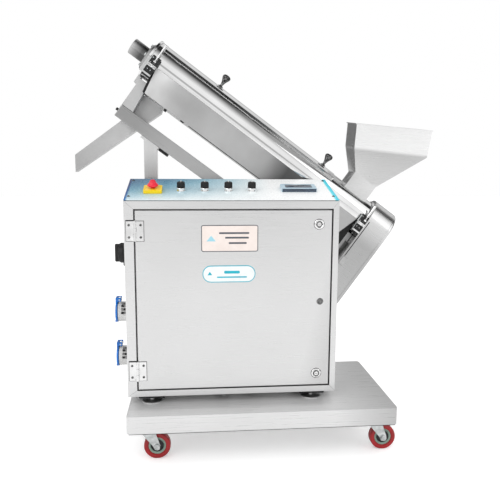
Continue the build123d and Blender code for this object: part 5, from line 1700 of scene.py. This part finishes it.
    def gear(self) -> None:
        """Dress each block of electrical gear by its size, with vents and screws."""
        plate, boxes, ducts, terminals, vents = [], [], [], [], []
        for low, high in loose_parts("control_gear"):
            size, middle = high - low, (low + high) / 2
            place = frame_about((middle[0], high[1], middle[2]), (0, -1, 0), (1, 0, 0))
            block = cushion_block(
                size[0], size[2], 0.0, size[1], min(1.6 * MM, size[0] / 3), min(1.0 * MM, size[1] / 4)
            )
            if size[0] > 0.4 or size[2] < 14 * MM or size[1] < 12 * MM:
                plate.append(place.moved(block))
            elif size[0] < 14 * MM:
                terminals.append(place.moved(block))
                terminals.append(
                    place.offset(0.0, 16 * MM, size[1]).moved(cross_head(2.8 * MM, 0.0, 1.0 * MM, 24))
                )
            elif size[0] > 0.15:
                ducts.append(place.moved(block))
            else:
                boxes.append(place.moved(block))
                for row in np.linspace(-0.32, 0.32, 6):
                    slat = cushion_block(
                        size[0] * 0.7, 2.4 * MM, size[1] - 0.4 * MM, size[1] + 0.5 * MM, 1.0 * MM, 0.3 * MM
                    )
                    vents.append(place.offset(0.0, row * size[2]).moved(slat))
        make_piece("gear_mounting_plate", plate, Dressing(ZINC, "machine", "grey_plastic", ("control_gear",)))
        make_piece("gear_boxes", boxes, Dressing(GREY, "machine", "grey_plastic"))
        make_piece("gear_vents", vents, Dressing(BLACK, "machine", "grey_plastic"))
        if ducts:
            make_piece("gear_ducts", ducts, Dressing(CABLE_DUCT, "machine", "grey_plastic"))
        make_piece("gear_terminals", terminals, Dressing(TERMINAL, "machine", "grey_plastic"))


# ------------------------------------------------------------------ sloping frame
@dataclass
class SlopingFrame:
    """Posts, sloping beam and the end brackets, with their bolts."""

    bolt_flats: float = 13.0 * MM

    def build(self) -> None:
        """Build the structure behind the cabinet, its foot bolts and its fasteners above the deck, drawn in
        the black finish.
        """
        soften("inclined_beam", Dressing(SHEET_SLOPING, "machine", "satin_stainless", edge_mm=2.0))
        soften("frame_posts", Dressing(SHEET_UPRIGHT, "machine", "satin_stainless", edge_mm=1.4))
        soften("end_brackets", Dressing(BRACKET_METAL, "machine", "bead_blasted_stainless", edge_mm=0.9))
        bolts = []
        deck_top = corners("base_deck")[1][2]
        for low, high in loose_parts("frame_bolts"):
            if low[2] > deck_top + 50 * MM:
                continue
            middle = (low + high) / 2
            place = frame_about((middle[0], middle[1], high[2] - 6 * MM), (0, 0, 1), (1, 0.2, 0))
            washer = in_mm([(4, 0.0), (9, 0.0), (9, 1.2), (4, 1.2), (4, 0.0)])
            bolts += [
                place.moved(turned(washer, 32)),
                place.moved(hexagon_head(self.bolt_flats, 1.1 * MM, 6.0 * MM)),
            ]
        make_piece("foot_bolts_and_washers", bolts, Dressing(ZINC, "machine", "zinc_steel"))
        # The fasteners above the deck are drawn in the black plastic finish.
        soften(
            "frame_bolts",
            Dressing(BLACK, "machine", "zinc_steel", edge_mm=0.6),
            "trough_bolts_drawn_black",
            lambda low, high: low[2] > deck_top + 50 * MM,
        )


# ------------------------------------------------------------------ polishing tube
@dataclass
class Polisher:
    """Tube, lid, brush, trough, hopper, chute, latches and bearings."""

    tube_radius: float = 61.5 * MM
    brush_rows: int = 6
    tufts_per_row: int = 84
    lid_half_angle: float = math.radians(50.0)
    lid_middle: float = 330.5 * MM
    lip_painted_reflection_strip: float = 644 * MM
    knob_places: tuple[float, ...] = (200.0 * MM, 611.0 * MM)
    pitch: float = 0.42

    def tube_place(self) -> Placement:
        """Frame of the tube: Z down the tube, X up and square to it, origin at its upper end."""
        return frame_about(TUBE_START, TUBE_AXIS, TUBE_UP)

    def build(self) -> None:
        """Build the polishing unit."""
        soften("tube_shell", Dressing(TUBE_METAL, "machine", "polished_stainless", edge_mm=0.4, sharp_deg=40))
        keep("tube_lid", TUBE_METAL)
        soften("dust_trough", Dressing(TROUGH_METAL, "machine", "bead_blasted_stainless", edge_mm=0.6))
        soften("screen_tube", Dressing(BRIGHT, "machine", "polished_stainless", sharp_deg=40))
        soften("tube_fittings", Dressing(HOUSING_METAL, "machine", "bead_blasted_stainless", edge_mm=0.8))
        soften("feed_hopper", Dressing(SHEET_HOPPER, "machine", "satin_stainless", edge_mm=0.7))
        soften("discharge_chute", Dressing(CHUTE_METAL, "machine", "bead_blasted_stainless", edge_mm=0.5))
        soften("latch_bodies", Dressing(BLACK, "machine", "black_plastic", edge_mm=1.2))
        for end in ("upper", "lower"):
            soften(f"latch_lever_{end}", Dressing(BRIGHT, f"lever_{end}", "polished_stainless", edge_mm=0.3))
        self.lid_knobs()
        self.end_rings()
        self.latch_trim()
        self.brush()

    def lid_knobs(self) -> None:
        """Turn the two flared lifting knobs and lay a dark channel on the lid's front lip.

        The channel is a guess without a CAD part. It imitates a dark reflection on the tube.
        """
        place = self.tube_place()
        shapes = []
        low = self.tube_radius + 1.9 * MM
        outline = [
            (0.0, 0.0), (8.8, 0.0), (9.0, 1.4), (8.2, 2.4), (5.4, 3.2), (4.3, 4.8), (4.2, 7.0), (4.7, 10.4),
            (5.8, 15.0),
        ]
        outline += [
            (7.6, 19.6), (9.9, 24.4), (12.2, 29.0), (13.3, 32.4), (13.3, 34.4), (12.5, 37.2), (10.4, 39.4),
            (6.8, 41.0), (0.0, 41.8),
        ]
        profile = [(r * MM, z * MM) for r, z in outline]
        for along in self.knob_places:
            seat = place.offset(low, 0.0, along)
            knob = frame_about(seat.origin, place.axes[0], TUBE_AXIS)
            shapes.append(knob.moved(turned(profile, 56)))
        make_piece(
            "lid_lifting_knobs", shapes, Dressing(KNOB_STEEL, "cover", "polished_stainless", ("lid_knobs",))
        )
        outward = math.cos(
            self.lid_half_angle
        ) * place.axes[0] + math.sin(self.lid_half_angle) * place.axes[1]
        lip = frame_about(
            place.offset(0.0, 0.0, self.lid_middle).origin, outward, np.cross(outward, TUBE_AXIS)
        )
        reach = self.tube_radius + 4.9 * MM
        channel = cushion_block(
            2.8 * MM, self.lip_painted_reflection_strip, reach - 2.8 * MM, reach + 4.8 * MM, 0.6 * MM, 0.4 * MM
        )
        make_piece(
            "lid_lip_painted_reflection_strip", [lip.moved(channel)], Dressing(LIP_PAINTED_REFLECTION, "cover", "polished_stainless")
        )

    def end_rings(self) -> None:
        """Add the rolled rings on the tube's two end discs and bolt heads on the upper disc."""
        place = self.tube_place()
        rings, bolts = [], []
        for along in (-17.0, 818.0):
            spot = place.offset(0.0, 0.0, along * MM)
            lip = in_mm([(64.5, -3.6), (66.4, -3.2), (66.6, 0.0), (66.4, 3.2), (64.5, 3.6), (64.5, -3.6)])
            rings.append(spot.moved(turned(lip, 120)))
        for angle in np.radians([30, 90, 150, 210, 270, 330]):
            seat = place.offset(38.5 * MM * math.cos(angle), 38.5 * MM * math.sin(angle), -33.0 * MM)
            back = Placement(seat.origin, np.array([place.axes[0], -place.axes[1], -place.axes[2]]))
            bolts.append(back.moved(hexagon_head(8 * MM, -0.2 * MM, 4.0 * MM)))
        make_piece("end_disc_rings", rings, Dressing(BRIGHT, "machine", "polished_stainless"))
        make_piece("upper_flange_bolts", bolts, Dressing(ZINC, "machine", "zinc_steel"))

    def latch_trim(self) -> None:
        """Add bright straps, catch plates and rivets to the two black toggle latches."""
        place = self.tube_place()
        straps, rivets, catches = [], [], []
        for low, high, lever in ((-8.0, 19.0, 6.0), (796.0, 821.0, 814.5)):
            middle, width = (low + high) / 2, high - low
            for x, tall, wide in ((-21.0, 9.0, width + 1.0), (-48.0, 5.0, width + 1.0)):
                face = frame_about(place.offset(x * MM, 78 * MM, middle * MM).origin, (0, -1, 0), TUBE_AXIS)
                straps.append(
                    face.moved(cushion_block(wide * MM, tall * MM, -1.0 * MM, 1.3 * MM, 1.2 * MM, 0.5 * MM))
                )
            for x, along in (
                (-13.0, low + 4.0), (-34.0, middle + 4.0), (-34.0, middle - 6.0), (3.0, low + 3.6)
            ):
                seat = frame_about(place.offset(x * MM, 77.6 * MM, along * MM).origin, (0, -1, 0), TUBE_AXIS)
                rivets.append(seat.moved(cross_head(2.4 * MM, -0.4 * MM, 1.8 * MM, 24)))
            ball = frame_about(
                place.offset(-22.0 * MM, 78.6 * MM, (lever + 2.5) * MM).origin, (0, -1, 0), TUBE_AXIS
            )
            dome = [
                (3.8 * MM * math.cos(a), 3.8 * MM * math.sin(a)) for a in np.linspace(0.0, math.pi / 2, 9)
            ]
            rivets.append(ball.moved(turned([(0.0, -0.4 * MM), (3.8 * MM, -0.4 * MM), *dome], 32)))
            edge = frame_about(
                place.offset(-24.0 * MM, 72.5 * MM, (low - 0.9) * MM).origin, (0, -1, 0), TUBE_AXIS
            )
            catches.append(
                edge.moved(cushion_block(1.8 * MM, 58 * MM, -5.0 * MM, 5.0 * MM, 0.6 * MM, 0.4 * MM))
            )
        make_piece("latch_straps", straps, Dressing(BRIGHT, "machine", "black_plastic"))
        make_piece("latch_rivets", rivets, Dressing(BRIGHT, "machine", "black_plastic"))
        make_piece("latch_side_plates", catches, Dressing(ZINC, "machine", "black_plastic"))

    def brush(self) -> None:
        """Build the shaft and rows of tufts that wind slowly round it.

        Tuft k of row j leaves the core at angle 2 pi (j / rows + pitch * s) where s is its place
        along the brush, and fans out a little towards its tip.
        """
        soften("brush_shaft", Dressing(ZINC, "brush", "bead_blasted_stainless", edge_mm=0.3))
        place = self.tube_place()
        core = in_mm([(10.2, 4), (16, 4), (16, 800), (10.2, 800), (10.2, 4)])
        shapes = [place.moved(turned(core, 40))]
        row, tuft = np.meshgrid(np.arange(self.brush_rows), np.arange(self.tufts_per_row), indexing="ij")
        along = (8 + 788 * (tuft + 0.5) / self.tufts_per_row) * MM
        angle = FULL_TURN * (row / self.brush_rows + self.pitch * tuft / self.tufts_per_row)
        angle, along = angle.ravel(), along.ravel()
        side = np.linspace(0.0, FULL_TURN, 6, endpoint=False)
        steps = [(15.5, 1.4), (30.0, 2.4), (46.0, 3.4), (51.6, 3.6), (51.9, 0.0)]
        out = np.stack([np.cos(angle), np.sin(angle), np.zeros_like(angle)], axis=1)
        wide = np.stack([-np.sin(angle), np.cos(angle), np.zeros_like(angle)], axis=1)
        rings = []
        for radius, spread in steps:
            centre = out * radius * MM + np.array([0.0, 0.0, 1.0]) * along[:, None]
            ring = centre[:, None] + spread * MM * (
                wide[:, None] * np.cos(side)[None, :, None] * 0.6 + np.array(
                    [0.0, 0.0, 1.0]
                ) * np.sin(side)[None, :, None]
            )
            rings.append(ring)
        points = np.stack(rings, axis=1)
        count, levels, sides = points.shape[:3]
        local = np.array(grid_faces(levels, sides, False, True))
        faces = (local[None] + (np.arange(count) * levels * sides)[:, None, None]).reshape(-1, 4)
        shapes.append(place.moved(Surface(points.reshape(-1, 3), [tuple(f) for f in faces.tolist()])))
        make_piece("brush_tufts", shapes, Dressing(NYLON, "brush", "nylon_bristle", ("brush_bristles",)))


# ------------------------------------------------------------------ drive
@dataclass
class Drive:
    """Belt guard, cover, motor, belt and pulleys."""

    fins: int = 30

    def build(self) -> None:
        """Build the drive at the tube's lower end."""
        soften("belt_guard", Dressing(SHEET_GUARD, "machine", "satin_stainless", edge_mm=1.0, sharp_deg=40))
        soften(
            "guard_cover", Dressing(SHEET_GUARD, "machine", "polished_stainless", edge_mm=0.6, sharp_deg=40)
        )
        soften("drive_belt", Dressing(RUBBER, "machine", "black_rubber", edge_mm=0.6))
        soften("drive_pulley", Dressing(ZINC, "motor_rotor", "zinc_steel", edge_mm=0.3))
        soften("drive_motor", Dressing(MOTOR_PAINT, "machine", "motor_paint", edge_mm=1.0))
        self.motor_fins()

    def motor_fins(self) -> None:
        """Cover the motor's case with cooling fins and give it a fan cowl with a grille.

        The case radius is raised by a comb of the angle: half a wave of the cosine to a high power.
        """
        joint = joint_named("motor_spin")
        centre = np.array(joint["pos_m"])
        up = np.array([math.sin(TUBE_SLOPE), 0.0, math.cos(TUBE_SLOPE)])
        place = frame_about(centre, TUBE_AXIS, up)

        def combed(turn: np.ndarray, height: np.ndarray) -> np.ndarray:
            """Raise narrow fins between the motor's two end bells."""
            return 1.0 - 0.07 * (1.0 - np.maximum(0.0, np.cos(self.fins * turn / 2) ** 6))

        case = in_mm([(40, -124), (53.8, -124), (53.8, -27), (40, -27), (40, -124)])
        cowl = in_mm(
            [
                (0.0, -147), (30, -147), (46, -146.6), (52, -143), (53.9, -138), (53.9, -127), (50, -126),
                (0.0, -126),
            ]
        )
        make_piece(
            "motor_fins_and_cowl",
            [place.moved(turned(case, 240, combed)), place.moved(turned(cowl, 72))],
            Dressing(MOTOR_PAINT, "machine", "motor_paint"),
        )
        slots = []
        for angle in np.linspace(0.0, FULL_TURN, 18, endpoint=False):
            turn = np.array(Matrix.Rotation(angle, 3, "Z")).T
            arm = Placement(place.offset(0.0, 0.0, -147.0 * MM).origin, turn @ place.axes)
            slots.append(
                arm.offset(26 * MM).moved(
                    cushion_block(22 * MM, 2.6 * MM, -0.3 * MM, 0.5 * MM, 1.2 * MM, 0.2 * MM)
                )
            )
        make_piece("motor_fan_slots", slots, Dressing(BLACK, "machine", "motor_paint"))


# ------------------------------------------------------------------ studio
@dataclass
class Studio:
    """Pale floor, soft lights, a white room with black flags, and the camera."""

    lens: float = 41.3
    distance: tuple[float, float, float] = (-0.1915, -1.73297, 0.81824)
    yaw: float = 0.0965
    pitch: float = 0.1434
    roll: float = 0.0054

    def build(self) -> None:
        """Set up the studio."""
        self.floor()
        self.room()
        self.lights()
        self.camera()

    def floor(self) -> None:
        """Lay a plain pale floor."""
        mesh = bpy.data.meshes.new("studio_floor")
        reach = 14.0
        mesh.from_pydata(
            [(-reach, -reach, 0), (reach, -reach, 0), (reach, reach, 0), (-reach, reach, 0)],
            [],
            [(0, 1, 2, 3)],
        )
        floor = bpy.data.objects.new("studio_floor", mesh)
        bpy.context.scene.collection.objects.link(floor)
        paper = bpy.data.materials.new("seamless_paper_white")
        paper.use_nodes = True
        shader = paper.node_tree.nodes["Principled BSDF"]
        shader.inputs["Base Color"].default_value = srgb("#f6f6f6")
        shader.inputs["Roughness"].default_value = 0.85
        shader.inputs["Emission Color"].default_value = srgb("#ffffff")
        # Only the camera sees the paper glow, so that it runs into the backdrop without a horizon.
        path = add_node(paper.node_tree, "LightPath")
        glow = add_node(
            paper.node_tree,
            "Math",
            {0: path.outputs["Is Camera Ray"], 1: 0.32},
            {"operation": "MULTIPLY"},
        )
        paper.node_tree.links.new(glow.outputs[0], shader.inputs["Emission Strength"])
        mesh.materials.append(paper)
        floor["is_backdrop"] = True

    def room(self) -> None:
        """Paint a white room that mirror-bright metal sees with black flags in it.

        Angles are taken about the tube's axis: 0 is the front, 90 is square above the tube and 180
        the back. A black flag hangs overhead, so a soft dark band runs down the polished tube; it
        thins out over the tube's lower half and comes back over the belt guard. Another flag stands
        at the back left, and two narrow ones at the sides draw the edges of small bright parts.
        The flags show only in reflections. The camera and matt surfaces see plain white.
        """
        world = bpy.data.worlds.new("studio_room")
        bpy.context.scene.world = world
        world.use_nodes = True
        tree = world.node_tree
        background = tree.nodes["Background"]
        view = add_node(tree, "TexCoord").outputs["Generated"]
        above = self.towards(tree, view, tuple(TUBE_UP))
        front = self.towards(tree, view, (0.0, -1.0, 0.0))
        angle = add_node(tree, "Math", {0: above, 1: front}, {"operation": "ARCTAN2"})
        turn = add_node(tree, "MapRange", {0: angle.outputs[0], 1: -math.pi, 2: math.pi})
        grey = add_node(tree, "ValToRGB", {0: turn.outputs[0]})
        levels = (
            (-180, 0.85), (-90, 0.9), (-3, 1.0), (1, 0.5), (7, 0.5), (11, 1.0), (32, 1.0), (54, 0.42),
            (70, 0.03), (101, 0.02), (112, 0.72), (128, 0.78), (142, 0.6), (152, 0.5), (164, 0.85),
            (180, 0.95),
        )
        set_stops(grey, [(0.5 + at / 360, (level, level, level, 1.0)) for at, level in levels])
        slide = self.towards(tree, view, tuple(TUBE_AXIS))
        place = add_node(tree, "MapRange", {0: slide, 1: -0.3, 2: 0.3})
        gap = add_node(tree, "ValToRGB", {0: place.outputs[0]})
        opened = ((-0.3, 0.0), (-0.04, 0.0), (0.06, 0.42), (0.13, 0.42), (0.2, 0.0), (0.3, 0.0))
        set_stops(gap, [((at + 0.3) / 0.6, (level, level, level, 1.0)) for at, level in opened])
        flagged = add_node(
            tree,
            "Mix",
            {0: 1.0, 6: grey.outputs[0], 7: gap.outputs[0]},
            {"data_type": "RGBA", "blend_type": "LIGHTEN"},
        )
        seen = flagged.outputs[2]
        for direction, near, far, level in (
            ((-0.35, 0.9, 0.12), 0.955, 0.9, 0.16),
            ((-0.87, -0.5, 0.05), 0.985, 0.96, 0.04),
            ((0.87, -0.5, 0.05), 0.985, 0.96, 0.04),
        ):
            size = math.sqrt(sum(c * c for c in direction))
            aim = self.towards(tree, view, tuple(c / size for c in direction))
            shade = add_node(tree, "MapRange", {0: aim, 1: far, 2: near, 3: 1.0, 4: level})
            mixed = add_node(
                tree,
                "Mix",
                {0: 1.0, 6: seen, 7: shade.outputs[0]},
                {"data_type": "RGBA", "blend_type": "MULTIPLY"},
            )
            seen = mixed.outputs[2]
        path = add_node(tree, "LightPath")
        white = (1.0, 1.0, 1.0, 1.0)
        picked = add_node(
            tree,
            "Mix",
            {0: path.outputs["Is Glossy Ray"], 6: white, 7: seen},
            {"data_type": "RGBA"},
        )
        tree.links.new(picked.outputs[2], background.inputs["Color"])
        background.inputs["Strength"].default_value = 1.0

    def towards(
        self, tree: bpy.types.NodeTree, view: bpy.types.NodeSocket, aim: tuple[float, ...]
    ) -> bpy.types.NodeSocket:
        """Return how far a view direction points along an aim, from -1 to 1."""
        return add_node(
            tree, "VectorMath", {0: view, 1: aim}, {"operation": "DOT_PRODUCT"}
        ).outputs["Value"]

    def lights(self) -> None:
        """Hang a large soft box at the front left and a weaker one at the right."""
        for name, place, power, size in (
            ("softbox_left", (-2.2, -2.4, 2.6), 30.0, 2.4),
            ("softbox_right", (2.6, -1.6, 1.8), 12.0, 2.0),
        ):
            lamp = bpy.data.lights.new(name, "AREA")
            lamp.energy = power
            lamp.size = size
            holder = bpy.data.objects.new(name, lamp)
            bpy.context.scene.collection.objects.link(holder)
            aim = Vector((0.0, 0.0, 0.6)) - Vector(place)
            holder.matrix_world = Matrix.Translation(place) @ aim.to_track_quat("-Z", "Y").to_matrix().to_4x4()

    def camera(self) -> None:
        """Place the camera from its yaw, pitch and roll."""
        ahead = Vector(
            (
                math.sin(self.yaw) * math.cos(self.pitch),
                math.cos(self.yaw) * math.cos(self.pitch),
                -math.sin(self.pitch),
            )
        )
        flat = Vector((math.cos(self.yaw), -math.sin(self.yaw), 0.0))
        rise = flat.cross(ahead)
        right = math.cos(self.roll) * flat + math.sin(self.roll) * rise
        up = -math.sin(self.roll) * flat + math.cos(self.roll) * rise
        data = bpy.data.cameras.new("studio_camera")
        data.lens = self.lens
        data.sensor_width = 36.0
        camera = bpy.data.objects.new("studio_camera", data)
        bpy.context.scene.collection.objects.link(camera)
        turn = Matrix((right, up, -ahead)).transposed().to_4x4()
        camera.matrix_world = Matrix.Translation(self.distance) @ turn
        bpy.context.scene.camera = camera
        bpy.context.scene.view_settings.view_transform = "Standard"


def write_sizes() -> None:
    """Gather the CAD box and the visual model's box, and log the visual model's box."""
    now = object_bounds()
    sizes = {"cad": [list(c) for c in CAD_BOX], "visual": [list(c) for c in now]}
    LOG.info("visual box %s", sizes["visual"])


def main() -> None:
    """Build the studio and every sub-assembly in order."""
    logging.basicConfig(level=logging.INFO, format="%(name)s: %(message)s")
    Studio().build()
    for assembly in (Trolley(), Cabinet(), Controls(), SlopingFrame(), Polisher(), Drive()):
        LOG.info("building %s", type(assembly).__name__)
        assembly.build()
    write_sizes()


if __name__ == "__main__":
    main()
